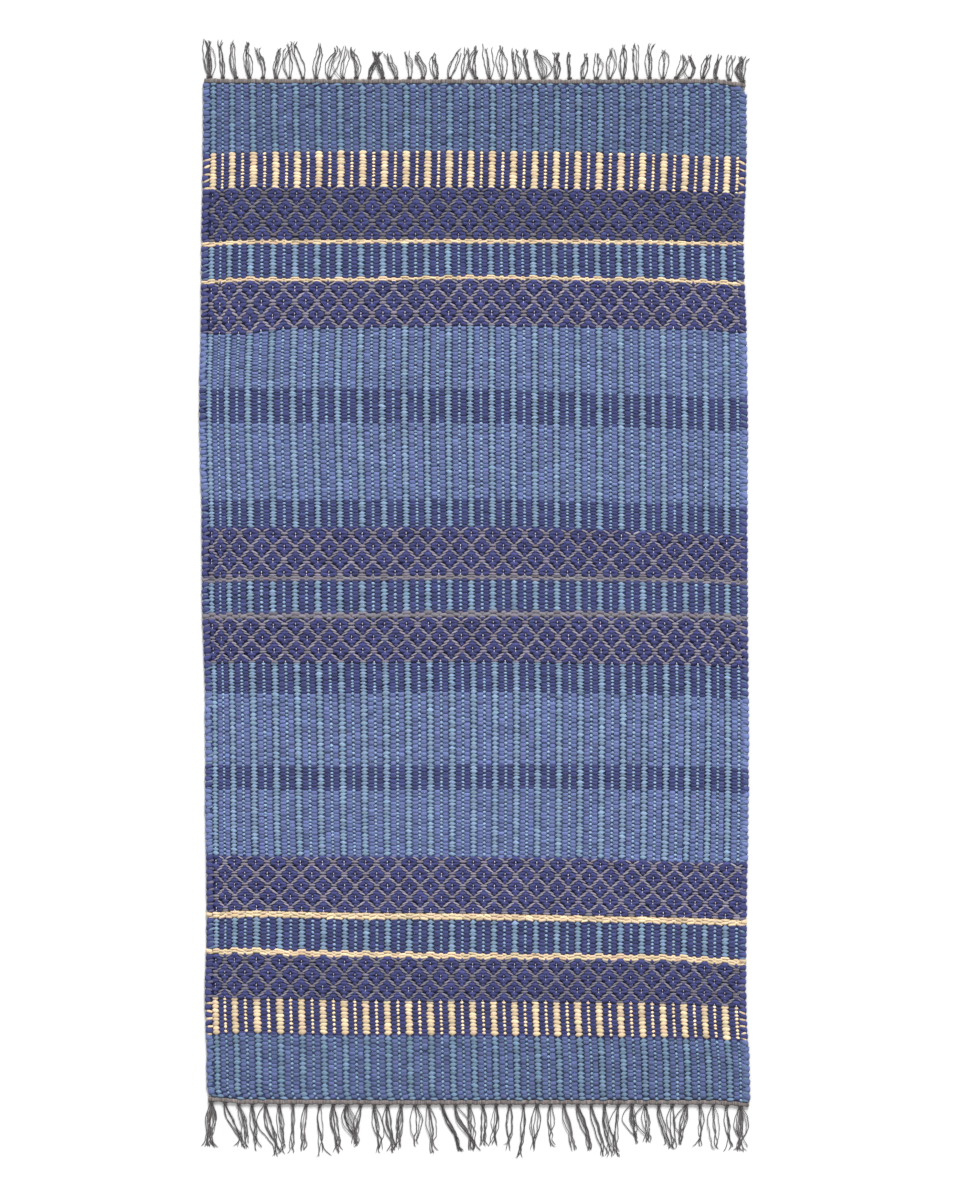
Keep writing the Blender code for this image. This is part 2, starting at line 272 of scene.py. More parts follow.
def smooth_through(at: Array, places: Array, values: Array) -> Array:
    """A cubic curve through points, with slopes from their neighbours.

    Args:
        at: where to read the curve.
        places: the points' places, rising.
        values: the points' values.

    Returns:
        The curve's values: Hermite cubics between neighbouring points.
    """
    slopes = np.gradient(values, places)
    i = np.clip(np.searchsorted(places, at) - 1, 0, len(places) - 2)
    span = places[i + 1] - places[i]
    t = (np.clip(at, places[0], places[-1]) - places[i]) / span
    start = (2 * t**3 - 3 * t**2 + 1) * values[i] + (t**3 - 2 * t**2 + t) * span * slopes[i]
    end = (3 * t**2 - 2 * t**3) * values[i + 1] + (t**3 - t**2) * span * slopes[i + 1]
    return start + end


def scatter(
    rng: np.random.Generator, spread: float, shape: int | tuple[int, ...], low: float, high: float
) -> Array:
    """Random values round 0, normally spread, with those beyond low and high brought back."""
    return rng.normal(0, spread, shape).clip(low, high)


def mesh_points(thing: bpy.types.Object) -> Array:
    """The points of a mesh object, one row each."""
    flat = np.empty(3 * len(thing.data.vertices), np.float32)
    thing.data.vertices.foreach_get("co", flat)
    return flat.reshape(-1, 3).astype(float)


def blend_down(stack: Array, places: Array, down: Array) -> Array:
    """Reads a stack of layers between two of them, by a smooth step.

    Args:
        stack: (layer, ...), the values in each layer.
        places: the layers' distances down, rising.
        down: where to read, of one layer's shape.

    Returns:
        The blend of the layers just above and just below each place.
    """
    i = np.clip(np.searchsorted(places, down) - 1, 0, len(places) - 2)
    above, below = places[i], places[i + 1]
    t = np.clip((down - above) / (below - above), 0, 1)
    t = t * t * (3 - 2 * t)
    first = np.take_along_axis(stack, i[None], 0)[0]
    second = np.take_along_axis(stack, i[None] + 1, 0)[0]
    return first * (1 - t) + second * t


class Layout:
    """Where each warp end and each pick lies, read from the frame's own solids."""

    def __init__(self) -> None:
        """Reads both selvedges and both end lines from the frame."""
        cloth = mesh_points(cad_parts["woven_cloth"])
        self.edge_y, self.left_x = self._selvedge(cloth, -1.0)
        _, self.right_x = self._selvedge(cloth, 1.0)
        self.far_x, self.far_y = self._end_line("fringe_far")
        self.near_x, self.near_y = self._end_line("fringe_near")
        self.top_y = float(np.interp(0.0, self.far_x, self.far_y)) + HEADING_WIDTH
        self.lines = np.array([line.rises for line in PICK_LINES]) / 1000.0
        ends = [HEADING_WIDTH] + [line.down for line in PICK_LINES]
        self.line_downs = np.array(ends + [RUG_LENGTH - HEADING_WIDTH])

    @staticmethod
    def _selvedge(points: Array, side: float) -> tuple[Array, Array]:
        """The outermost x of the cloth in each scallop's stretch of its length.

        Args:
            points: the cloth's points.
            side: -1 for the left selvedge, 1 for the right one.

        Returns:
            The stretches' middles in rising y, and the selvedge's x there.
        """
        low = points[:, 1].min()
        stretch = ((points[:, 1] - low) / SCALLOP_PITCH).astype(int)
        reach = np.full(stretch.max() + 1, -np.inf)
        np.maximum.at(reach, stretch, side * points[:, 0])
        return low + (np.arange(len(reach)) + 0.5) * SCALLOP_PITCH, side * reach

    @staticmethod
    def _end_line(node: str) -> tuple[Array, Array]:
        """The heading's inner edge, as rising x and its y."""
        points = mesh_points(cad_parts[node])
        on_line = points[np.abs(points[:, 2] - HEADING_BACK_HEIGHT) < SAME_HEIGHT]
        order = np.argsort(on_line[:, 0])
        return on_line[order, 0], on_line[order, 1]

    def selvedges(self, y: Array) -> tuple[Array, Array]:
        """X of the left and the right selvedge at y."""
        return np.interp(y, self.edge_y, self.left_x), np.interp(y, self.edge_y, self.right_x)

    def x_of(self, end: Array, down: Array) -> Array:
        """X of a warp end: its even share of the width, shifted as the warp lines say.

        Args:
            end: end numbers, which may be fractions.
            down: distances from the rug's far end.

        Returns:
            The x of each.
        """
        left, right = self.selvedges(self.top_y - down)
        at = np.array(AT_ENDS)
        stack = np.stack([smooth_through(end, at, np.array(line.shifts)) for line in WARP_LINES])
        places = np.array([line.down for line in WARP_LINES])
        shifted = end + blend_down(stack, places, np.broadcast_to(down, end.shape))
        return left + (right - left) * (shifted + 0.5) / WARP_ENDS

    def y_of(self, x: Array, down: Array) -> Array:
        """Y of a pick at x: its distance down, bent as the measured picks above and below.

        Args:
            x: places across the rug.
            down: the pick's distance from the rug's far end at the middle.

        Returns:
            The y of each: the two nearest pick lines blended by a smooth step.
        """
        left, right = self.selvedges(self.top_y - down)
        across = np.clip(2 * (x - left) / (right - left) - 1, -1, 1)
        rises = [np.interp(x, self.far_x, self.far_y) - self.top_y + HEADING_WIDTH]
        places = np.array(ACROSS)
        rises += [smooth_through(across, places, line) for line in self.lines]
        near_middle = self.top_y - RUG_LENGTH + HEADING_WIDTH
        rises.append(np.interp(x, self.near_x, self.near_y) - near_middle)
        bend = blend_down(np.stack(rises), self.line_downs, np.broadcast_to(down, x.shape))
        return self.top_y - down + bend

    def pitch_at(self, x: Array, down: Array, spacing: Array) -> Array:
        """The picks' spacing where the cloth is beaten tighter or looser than at the middle.

        Args:
            x: places across the rug.
            down: distances from the rug's far end.
            spacing: the spacing at the middle.

        Returns:
            Half the step in y from one pick above the place to one pick below it.
        """
        above = self.y_of(x, down - spacing)
        below = self.y_of(x, down + spacing)
        return 0.5 * (above - below)


class Waves:
    """Slow random ripples, one for each of many yarns."""

    def __init__(self, rng: np.random.Generator, count: int, longest: float) -> None:
        """Draws three phases for each yarn.

        Args:
            rng: the source of the phases.
            count: how many yarns.
            longest: the longest ripple, in metres.
        """
        self.phases = rng.uniform(0, 2 * math.pi, (count, 3))
        self.lengths = longest / np.array([1.0, 2.3, 4.9])

    def at(self, yarn: NDArray[np.int64], x: Array) -> Array:
        """The ripple of each yarn at x: the mean of three sines, from -1 to 1."""
        turns = 2 * math.pi * x[..., None] / self.lengths + self.phases[yarn]
        return np.sin(turns).mean(axis=-1)


@dataclass(frozen=True)
class Form:
    """The unit form of one closed body: rings of a section along it, and a tip at each end.

    Attributes:
        places: each ring's place along the body, from -1 to 1.
        widths: each ring's half width, as a share of the body's.
        crests: each ring's height, as a share of the body's.
        section: the section's (sideways, up) points, one after the other.
    """

    places: tuple[float, ...]
    widths: tuple[float, ...]
    crests: tuple[float, ...]
    section: tuple[tuple[float, float], ...]


TOP_SECTION = ((-1.0, 0.0), (-0.45, 0.90), (0.45, 1.0), (1.0, 0.0))
BACK_SECTION = ((1.0, 0.0), (0.0, -1.0), (-1.0, 0.0))
# How much painted shade and painted light each point of the top section takes:
# shade on the sides, a painted highlight on the far crest.
SECTION_PAINTED_SHADE = (1.0, 0.0, 0.0, 0.9)
SECTION_PAINTED_LIGHT = (0.0, 1.0, 1.14, 0.1)


class Part(Enum):
    """What a float is in its band's pattern."""

    LIGHT = "teal yarn of the columns"
    CREAM = "cream yarn of the columns"
    DARK = "dark yarn between the columns"
    PETAL = "dark yarn of the rosettes"
    GROUND = "light yarn between the rosettes"
    LINE = "yarn of a thin line"


class Look(NamedTuple):
    """How the floats of one part and length lie.

    Reach is in ends to either side, fullness is the half thickness as a share of the
    picks' spacing, crest and dip are heights over the float's sides and below the cloth's
    top in mm, shoulder is where the tapering to the tips begins, and waist is a long
    float's thickness there. Shade lightens or darkens the part's yarn, as its tone and,
    where it is above 1.1, as a painted highlight on floats that stand up. Tip shade is
    painted shade, or painted light, towards the tips, where the yarn dips between the
    ends, and gap says how much painted shadow lies on the float's sides, from 0 to 1.
    """

    reach: float
    fullness: float
    crest: float
    dip: float
    shoulder: float
    waist: float
    shade: float
    tip_painted_shading: float
    gap: float


LOOKS: dict[tuple[Part, int], Look] = {
    (Part.LIGHT, 3): Look(1.68, 1.92, 1.45, 1.9, 0.50, 0.38, 1.02, 1.10, 0.60),
    (Part.LIGHT, 1): Look(0.86, 0.80, 1.55, 1.5, 0.24, 1.00, 1.30, 1.00, 0.30),
    (Part.CREAM, 3): Look(1.70, 2.04, 1.45, 1.9, 0.55, 0.50, 0.96, 0.96, 0.60),
    (Part.CREAM, 1): Look(0.90, 0.84, 1.55, 1.5, 0.24, 1.00, 1.25, 1.00, 0.30),
    (Part.DARK, 2): Look(1.24, 1.25, 1.40, 2.6, 0.70, 1.00, 0.97, 0.46, 1.00),
    (Part.PETAL, 3): Look(1.80, 1.76, 1.75, 2.4, 0.60, 0.66, 0.98, 0.52, 0.90),
    (Part.PETAL, 2): Look(1.50, 1.30, 1.55, 2.4, 0.60, 1.00, 0.98, 0.52, 0.90),
    (Part.PETAL, 1): Look(0.98, 1.24, 1.30, 2.1, 0.35, 1.00, 0.96, 0.62, 0.90),
    (Part.GROUND, 3): Look(1.66, 1.02, 1.10, 2.3, 0.55, 0.80, 0.93, 0.68, 0.80),
    (Part.GROUND, 2): Look(1.70, 0.72, 1.20, 2.1, 0.40, 1.00, 1.14, 0.76, 0.60),
    (Part.GROUND, 1): Look(0.22, 0.78, 1.60, 1.5, 0.45, 1.00, 2.10, 1.70, 0.00),
    (Part.LINE, 3): Look(2.20, 1.34, 1.40, 1.4, 0.60, 0.70, 0.94, 0.88, 0.85),
    (Part.LINE, 2): Look(1.80, 1.16, 1.35, 1.4, 0.60, 1.00, 0.94, 0.88, 0.85),
    (Part.LINE, 1): Look(1.30, 1.10, 1.30, 1.4, 0.40, 1.00, 0.94, 0.88, 0.85),
}

BACK_LOOK = Look(1.3, 1.05, 1.0, 2.0, 0.5, 1.0, 1.0, 1.0, 0.0)
BACK_REACH_OF_AN_END = 0.36
BACK_REACH_BEYOND = 0.5

BACK_FORMS: dict[int, Form] = {
    3: Form((-0.50, 0.50), (0.95, 0.95), (0.95, 0.95), BACK_SECTION),
    2: Form((-0.40, 0.40), (0.95, 0.95), (0.95, 0.95), BACK_SECTION),
    1: Form((0.0,), (1.0,), (1.0,), BACK_SECTION),
}


def top_form(ends: int, look: Look) -> Form:
    """The unit form of a float on the top: three rings where it is long, or else two."""
    edge, waist = look.shoulder, look.waist
    if ends == 3:
        return Form((-edge, 0.0, edge), (waist, 1.0, waist), (0.90, 1.0, 0.90), TOP_SECTION)
    return Form((-edge, edge), (1.0, 1.0), (1.0, 1.0), TOP_SECTION)


def unit_faces(
    ring_count: int, sides: int, flat: bool
) -> tuple[NDArray[np.int64], NDArray[np.int64], Array]:
    """The faces of one closed body: quads between its rings, and triangles to its two tips.

    A corner is a ring and a side. Point number is ring times sides plus side, then the two
    tips. In the body's cell of the bake map the rings lie along u, from the first tip at 0
    to the last at 1, and the section's points lie across v, with the tips in the middle.

    Args:
        ring_count: rings of the body.
        sides: points of each ring.
        flat: whether the last side is hidden, and so takes no room in the map.

    Returns:
        The point number of each corner, the corners of each face, and (u, v) of each corner.
    """
    ring, side = (grid.ravel() for grid in np.mgrid[: ring_count - 1, :sides])
    quad_rings = np.stack([ring, ring + 1, ring + 1, ring], axis=1)
    quad_sides = np.stack([side, side, side + 1, side + 1], axis=1)
    around = np.arange(sides)
    first, last = np.zeros_like(around), np.full_like(around, ring_count - 1)
    start_rings = np.stack([first - 1, first, first], axis=1)
    finish_rings = np.stack([last, last + 1, last], axis=1)
    cap_sides = np.stack([around, around, around + 1], axis=1)
    rings = np.concatenate([part.ravel() for part in (quad_rings, start_rings, finish_rings)])
    corners = np.concatenate([part.ravel() for part in (quad_sides, cap_sides, cap_sides)])
    numbers = rings * sides + corners % sides
    numbers = np.where(rings < 0, ring_count * sides, numbers)
    numbers = np.where(rings == ring_count, ring_count * sides + 1, numbers)
    sizes = np.concatenate([np.full(len(quad_rings), 4), np.full(2 * sides, 3)])
    columns = sides - 1 if flat else sides
    is_tip = (rings < 0) | (rings == ring_count)
    v = np.where(is_tip, 0.5, np.minimum(corners, columns) / columns)
    return numbers, sizes, np.stack([(rings + 1) / (ring_count + 1), v], axis=1)


class Bodies:
    """Closed bodies gathered from arrays, to be made into one mesh piece."""

    def __init__(self) -> None:
        """Starts with nothing."""
        self.points: list[Array] = []
        self.colours: list[Array] = []
        self.loops: list[NDArray[np.int64]] = []
        self.sizes: list[NDArray[np.int64]] = []
        self.uvs: list[Array] = []
        self.count = 0

    def add(
        self, rings: Array, tips: Array, colours: Array, around: Array, cells: Array, flat: bool
    ) -> None:
        """Adds closed bodies, each a row of rings with a tip at both ends.

        Args:
            rings: (body, ring, section point, xyz).
            tips: (body, end, xyz).
            colours: (body, ring or tip, rgb), the rings first and then both tips.
            around: (body or 1, section point, rgb or 1), the shares that tint each point.
            cells: (body, 4), each cell's corner and size in the bake map.
            flat: whether the last side is hidden, and so takes no room in the map.
        """
        number, ring_count, sides = rings.shape[:3]
        numbers, sizes, places = unit_faces(ring_count, sides, flat)
        stride = ring_count * sides + 2
        base = self.count + stride * np.arange(number)
        self.loops.append((base[:, None] + numbers[None]).ravel())
        self.sizes.append(np.tile(sizes, number))
        self.uvs.append((cells[:, None, :2] + places[None] * cells[:, None, 2:]).reshape(-1, 2))
        self.points.append(np.concatenate([rings.reshape(number, -1, 3), tips], axis=1).reshape(-1, 3))
        along = (colours[:, :ring_count, None] * around[:, None]).reshape(number, -1, 3)
        self.colours.append(np.concatenate([along, colours[:, ring_count:]], axis=1).reshape(-1, 3))
        self.count += number * stride

    def make(self, name: str, material: bpy.types.Material) -> bpy.types.Object:
        """Makes the mesh piece, smooth shaded, with its colours and its bake map.

        Args:
            name: the piece's name.
            material: its finish.

        Returns:
            The new object, at the origin.
        """
        points = np.concatenate(self.points)
        loops = np.concatenate(self.loops)
        sizes = np.concatenate(self.sizes)
        mesh = bpy.data.meshes.new(name)
        mesh.vertices.add(len(points))
        mesh.vertices.foreach_set("co", points.astype(np.float32).ravel())
        mesh.loops.add(len(loops))
        mesh.loops.foreach_set("vertex_index", loops.astype(np.int32))
        mesh.polygons.add(len(sizes))
        starts = np.concatenate([[0], np.cumsum(sizes)[:-1]])
        mesh.polygons.foreach_set("loop_start", starts.astype(np.int32))
        mesh.update(calc_edges=True)
        colours = np.ones((len(points), 4), np.float32)
        colours[:, :3] = np.concatenate(self.colours)
        paint(mesh, colours)
        bake_map = mesh.uv_layers.new(name="OFBake")
        bake_map.uv.foreach_set("vector", np.concatenate(self.uvs).astype(np.float32).ravel())
        mesh.shade_smooth()
        return place(name, mesh, material)


def place(name: str, mesh: bpy.types.Mesh, material: bpy.types.Material) -> bpy.types.Object:
    """An object for a mesh with its finish, at the origin of the scene."""
    mesh.materials.append(material)
    thing = bpy.data.objects.new(name, mesh)
    bpy.context.scene.collection.objects.link(thing)
    return thing


def paint(mesh: bpy.types.Mesh, colours: NDArray[np.float32]) -> None:
    """Gives each point of a mesh the colour that its finish reads, as (r, g, b, 1)."""
    layer = mesh.attributes.new(COLOUR_LAYER, "FLOAT_COLOR", "POINT")
    layer.data.foreach_set("color", colours.ravel())


def grid_cells(count: int, columns: int) -> Array:
    """Cells of the bake map for like bodies: a grid of so many columns, with thin gaps.

    Args:
        count: how many cells.
        columns: cells side by side.

    Returns:
        (cell, 4): each one's corner and size.
    """
    rows = math.ceil(count / columns)
    number = np.arange(count)
    gap = 0.06
    width, height = 1.0 / columns, 1.0 / rows
    u = (number % columns + gap) * width
    v = (number // columns + gap) * height
    size = np.ones(count) * (1 - 2 * gap)
    return np.stack([u, v, size * width, size * height], axis=1)


@dataclass(frozen=True)
class YarnFinish:
    """Matt cotton yarn: streaky along its run, faintly fuzzy, in the colour it carries.

    Attributes:
        name: the material's name.
        streak: streaks in a metre along X, Y and Z.
        depth: how far the pattern lightens or darkens the colour, as a share.
        mottle: spots in a metre where the dye took more or less.
        lint: specks of lint in a metre.
        mottle_share: how strong the spots are beside the streaks.
        lint_share: how strong the lint is beside the streaks.
        contrast: how far from its middle the pattern has its full depth.
        bump: how strongly the pattern stands up.
        bump_height: the pattern's height, in metres.
        roughness: the shader's roughness.
        specular: the shader's reflection.
        sheen: the weight of the shader's sheen.
        sheen_roughness: the roughness of the sheen.
    """

    name: str
    streak: tuple[float, float, float]
    depth: float
    mottle: float = 420.0
    lint: float = 2600.0
    mottle_share: float = 0.8
    lint_share: float = 0.35
    contrast: float = 0.32
    bump: float = 0.35
    bump_height: float = 0.0004
    roughness: float = 0.9
    specular: float = 0.25
    sheen: float = 0.12
    sheen_roughness: float = 0.5

    def material(self) -> bpy.types.Material:
        """Builds the finish: the carried colour times the pattern, which is also its bump.

        The pattern is the streaks, plus the lint and the mottle by their shares.

        Returns:
            The material, with its noises on Object coordinates.
        """
        material = bpy.data.materials.new(self.name)
        material.use_nodes = True
        nodes, links = material.node_tree.nodes, material.node_tree.links
        shader = nodes["Principled BSDF"]
        shader.inputs["Roughness"].default_value = self.roughness
        shader.inputs["Specular IOR Level"].default_value = self.specular
        shader.inputs["Sheen Weight"].default_value = self.sheen
        shader.inputs["Sheen Roughness"].default_value = self.sheen_roughness
        place_node = nodes.new("ShaderNodeTexCoord")
        stretch = nodes.new("ShaderNodeMapping")
        stretch.inputs["Scale"].default_value = self.streak
        links.new(place_node.outputs["Object"], stretch.inputs["Vector"])
        streaks = self._noise(material, stretch.outputs["Vector"], 1.0, 3.0)
        lint = self._noise(material, place_node.outputs["Object"], self.lint, 1.0)
        mottle = self._noise(material, place_node.outputs["Object"], self.mottle, 2.0)
        linty = self._plus_share(material, lint, self.lint_share, streaks)
        pattern = self._plus_share(material, mottle, self.mottle_share, linty)
        middle = 0.5 * (1 + self.lint_share + self.mottle_share)
        shade = nodes.new("ShaderNodeMapRange")
        shade.inputs["From Min"].default_value = middle - self.contrast
        shade.inputs["From Max"].default_value = middle + self.contrast
        shade.inputs["To Min"].default_value = 1.0 - self.depth
        shade.inputs["To Max"].default_value = 1.0 + self.depth
        links.new(pattern, shade.inputs["Value"])
        carried = nodes.new("ShaderNodeAttribute")
        carried.attribute_name = COLOUR_LAYER
        tinted = nodes.new("ShaderNodeVectorMath")
        tinted.operation = "SCALE"
        links.new(carried.outputs["Color"], tinted.inputs[0])
        links.new(shade.outputs["Result"], tinted.inputs["Scale"])
        links.new(tinted.outputs["Vector"], shader.inputs["Base Color"])
        relief = nodes.new("ShaderNodeBump")
        relief.inputs["Strength"].default_value = self.bump
        relief.inputs["Distance"].default_value = self.bump_height
        links.new(pattern, relief.inputs["Height"])
        links.new(relief.outputs["Normal"], shader.inputs["Normal"])
        return material

    @staticmethod
    def _noise(
        material: bpy.types.Material, vector: bpy.types.NodeSocket, scale: float, detail: float
    ) -> bpy.types.NodeSocket:
        """Adds a noise.

        Args:
            material: where it is added.
            vector: the coordinates that it reads.
            scale: spots in a metre.
            detail: how many finer noises it holds.

        Returns:
            Its value.
        """
        noise = material.node_tree.nodes.new("ShaderNodeTexNoise")
        noise.inputs["Scale"].default_value = scale
        noise.inputs["Detail"].default_value = detail
        material.node_tree.links.new(vector, noise.inputs["Vector"])
        return noise.outputs["Fac"]

    @staticmethod
    def _plus_share(
        material: bpy.types.Material,
        value: bpy.types.NodeSocket,
        share: float,
        base: bpy.types.NodeSocket,
    ) -> bpy.types.NodeSocket:
        """Adds a share of one value to another.

        Args:
            material: where the sum is added.
            value: what is shared.
            share: how much of it.
            base: what it is added to.

        Returns:
            The sum.
        """
        total = material.node_tree.nodes.new("ShaderNodeMath")
        total.operation = "MULTIPLY_ADD"
        total.inputs[1].default_value = share
        material.node_tree.links.new(value, total.inputs[0])
        material.node_tree.links.new(base, total.inputs[2])
        return total.outputs["Value"]


class Pick(NamedTuple):
    """One pass of the weft: its place, its yarn, its shed, its part, and in rosettes the
    motif's middle end and which half of the motif it is in."""

    down: float
    spacing: float
    yarn: Yarn
    shed: Shed
    part: Part
    centre: float = 0.0
    half: float = 0.0


class Turn(NamedTuple):
    """A kind of selvedge turn: its place and half width as shares of a pair's pitch, its
    half thickness, and how far it lies inside the selvedge, in metres."""

    place: float
    half_width: float
    thickness: float
    inset: float


DARK_TURN = Turn(0.30, 0.42, 0.0018, -0.0002)
LIGHT_TURN = Turn(0.80, 0.23, 0.0011, 0.0014)

# A turn's path, inward from the selvedge and up in mm, from its tip on the top to its tip
# underneath, and the share of its bulk that it has at each of these points.
TURN_PATH = (
    (10.4, 3.0), (9.2, 4.1), (5.2, 4.5), (2.4, 4.1), (1.4, 2.8), (2.4, 1.7), (6.0, 1.3), (9.0, 1.9),
)
TURN_BULK = (0.1, 0.8, 1.0, 1.0, 1.0, 0.9, 0.7, 0.1)


@dataclass
class Cloth:
    """The woven cloth: its picks' floats on both faces, its selvedge turns and its warp.

    Attributes:
        layout: where ends and picks lie.
        rng: the source of the yarn's unevenness.
        finish: the weft's finish.
        back_height: height of the underside's floats at their middle, in metres.
        back_tip: height of their tips.
        closing: how far the two picks of a rosette's row close up, as a share of the spacing.
        lobe_ends: how far from a rosette's middle its inner floats lie at the most, in ends.
        rosette_slant: slope, dy/dx, of a rosette's outer floats.
        lobe_slant: slope of its inner floats.
        light_slant: how much the slopes of the columns' light floats scatter.
        dark_slant: how much the slopes of all other floats scatter.
        reach_jitter: how much the floats' reach scatters, as a share.
        swell_jitter: how much their width and height scatter, as a share.
        shift_jitter: how far they scatter off their pick's line, as a share of the spacing.
        drift: how far a pick wanders off its line, as a share of the spacing.
        drift_length: the longest ripple of that wandering, in metres.
        heading_lap: how far a float may lie over a heading, as a share of the spacing.
        tone_wave: how far a pick's shade wanders, as a share.
        tone_length: the longest ripple of the shade, in metres.
        tone_jitter: how much the floats' shades scatter, as a share.
        hue_jitter: how much each of their three colours scatters, as a share.
        turn_pitch: the length of selvedge that a pair of turns takes, in metres.
        turn_wear: how far a light turn is worn towards the dark yarn at the most.
        turn_tilt: the mean and the spread of the turns' slopes, dy/dx.
        turn_pivot: how far inside the selvedge a tilted turn keeps its place, in metres.
        turn_sides: points round a turn's section.
        turn_middle: the height above which a turn rises with its band, in metres.
        turn_tone: shade of the turns.
        turn_tip_painted_shade: painted shade on their tips, where they tuck under, beside the rest.
        turn_painted_highlight: painted highlight on their tops and undersides, beside their painted-shade
            sides.
        warp_painted_shade: the warp's painted shade under the weft, as shares of the band's dark yarn.
    """

    layout: Layout
    rng: np.random.Generator
    finish: bpy.types.Material
    back_height: float = 0.0010
    back_tip: float = 0.0021
    closing: float = 0.25
    lobe_ends: float = 2
    rosette_slant: float = 0.46
    lobe_slant: float = 0.22
    light_slant: float = 0.10
    dark_slant: float = 0.05
    reach_jitter: float = 0.07
    swell_jitter: float = 0.09
    shift_jitter: float = 0.11
    drift: float = 0.16
    drift_length: float = 0.16
    heading_lap: float = 0.3
    tone_wave: float = 0.13
    tone_length: float = 0.30
    tone_jitter: float = 0.11
    hue_jitter: float = 0.022
    turn_pitch: float = 0.0102
    turn_wear: float = 0.75
    turn_tilt: tuple[float, float] = (0.10, 0.20)
    turn_pivot: float = 0.004
    turn_sides: int = 6
    turn_middle: float = 0.003
    turn_tone: float = 0.92
    turn_tip_painted_shade: float = 0.6
    turn_painted_highlight: float = 1.06
    warp_painted_shade: tuple[float, float, float] = (0.30, 0.33, 0.42)

    def picks_of(self, number: int) -> list[Pick]:
        """The picks of a band, in order from its far side.

        Args:
            number: the band's place in BANDS.

        Returns:
            In columns, light and dark yarn take turns in opposite sheds. In rosettes,
            each row is a dark pick in the motif's shed and a light one in the opposite.
        """
        band = BANDS[number]
        start = BANDS[number - 1].down_to if number else 1000 * (HEADING_WIDTH + PART_GAP)
        spacing = (band.down_to - start) / band.picks / 1000
        picks = []
        for i in range(band.picks):
            down = start / 1000 + (i + 0.5) * spacing
            if band.weave is Weave.ROSETTES:
                motif = ROSETTE_SHEDS[(i // 2) % len(ROSETTE_SHEDS)]
                is_ground = i % 2 == 1
                down += (-self.closing if is_ground else self.closing) * spacing
                yarn, part = (band.light, Part.GROUND) if is_ground else (band.dark, Part.PETAL)
                shed = motif.shed.opposite() if is_ground else motif.shed
                picks.append(Pick(down, spacing, yarn, shed, part, motif.centre, motif.half))
            else:
                is_dark = (i % 2 == 1) != band.dark_first
                yarn, shed = (band.dark, Shed.THREE_FOUR) if is_dark else (band.light, Shed.ONE_TWO)
                part = Part.CREAM if yarn is Yarn.CREAM else Part.LIGHT
                part = Part.DARK if is_dark else part
                part = Part.LINE if band.weave is Weave.LINE else part
                picks.append(Pick(down, spacing, yarn, shed, part))
        return picks

    def rise_at(self, x: Array, down: Array, band: Band) -> Array:
        """Height of the cloth's top: its thickness, its band's rise and two slow waves."""
        wave = sum(np.sin(across * x + along * down + phase) for across, along, phase in TOP_WAVES)
        return CLOTH_THICKNESS + band.rise / 1000 + WAVE_HEIGHT * wave

    def weave_band(self, number: int) -> bpy.types.Object:
        """Makes one band's floats, on the top and on the underside.

        Args:
            number: the band's place in BANDS.

        Returns:
            The band's piece.
        """
        picks = self.picks_of(number)
        bodies = Bodies()
        tones = Waves(self.rng, len(picks), self.tone_length)
        drifts = Waves(self.rng, len(picks), self.drift_length)
        for (part, ends), look in LOOKS.items():
            chosen = [i for i, pick in enumerate(picks) if pick.part is part]
            self._add_floats(bodies, picks, chosen, number, ends, look, False, tones, drifts)
        every = list(range(len(picks)))
        for ends in BACK_FORMS:
            look = BACK_LOOK._replace(reach=BACK_REACH_OF_AN_END * ends + BACK_REACH_BEYOND)
            self._add_floats(bodies, picks, every, number, ends, look, True, tones, drifts)
        return bodies.make(f"weft_band_{number + 1:02d}", self.finish)

    def _add_floats(
        self,
        bodies: Bodies,
        picks: list[Pick],
        chosen: list[int],
        number: int,
        ends: int,
        look: Look,
        back: bool,
        tones: Waves,
        drifts: Waves,
    ) -> None:
        """Adds the floats of one length and look on one face of a band.

        A float is a row of rings: along it the yarn arches, from a tip that dips between
        two warp ends, over its crest, to the other tip. Its sides lie below the cloth's
        top by its crest, and lower towards the tips, with the cube of the place along it.
        In a rosette the floats beside the middle slant: dy/dx is minus the sign of their
        side times a fixed slope, and the motif's lower half mirrors the upper. A band that
        sways goes down by its sway times the cosine of the place in the repeat.

        Args:
            bodies: where the floats are gathered.
            picks: the band's picks.
            chosen: the numbers of the picks to take.
            number: the band's place in BANDS.
            ends: how many warp ends each float covers.
            look: how the floats lie.
            back: whether the floats lie on the underside.
            tones: how each pick's shade wanders.
            drifts: how each pick wanders off its line.
        """
        pick_of, middle = self._positions(picks, chosen, ends, back)
        if not len(middle):
            return
        count = len(middle)
        rng = self.rng
        form = BACK_FORMS[ends] if back else top_form(ends, look)
        laid = np.array([(pick.spacing, pick.down, pick.centre, pick.half) for pick in picks])
        spacing, down, centre, half = laid[pick_of].T
        yarn = np.array([pick.yarn.value for pick in picks])[pick_of]
        shadow = np.array([painted_shade_of(pick.yarn) for pick in picks])[pick_of]

        beside = (middle - FIRST_WIDE_END - centre + REPEAT_ENDS / 2) % REPEAT_ENDS - REPEAT_ENDS / 2
        slope = np.where(np.abs(beside) > self.lobe_ends, self.rosette_slant, self.lobe_slant) * (ends == 2)
        light = not back and picks[chosen[0]].part in (Part.LIGHT, Part.CREAM)
        loose = self.light_slant if light else self.dark_slant
        slant = -np.sign(beside) * half * slope + scatter(rng, loose, count, -0.22, 0.22)
        swell = 1 + scatter(rng, self.swell_jitter, count, -0.2, 0.25)
        down = down + spacing * scatter(rng, self.shift_jitter, count, -0.25, 0.25)
        down = down + spacing * self.drift * drifts.at(pick_of, middle * WARP_PITCH)
        reach = look.reach * (1 + scatter(rng, self.reach_jitter, count, -0.12, 0.12))

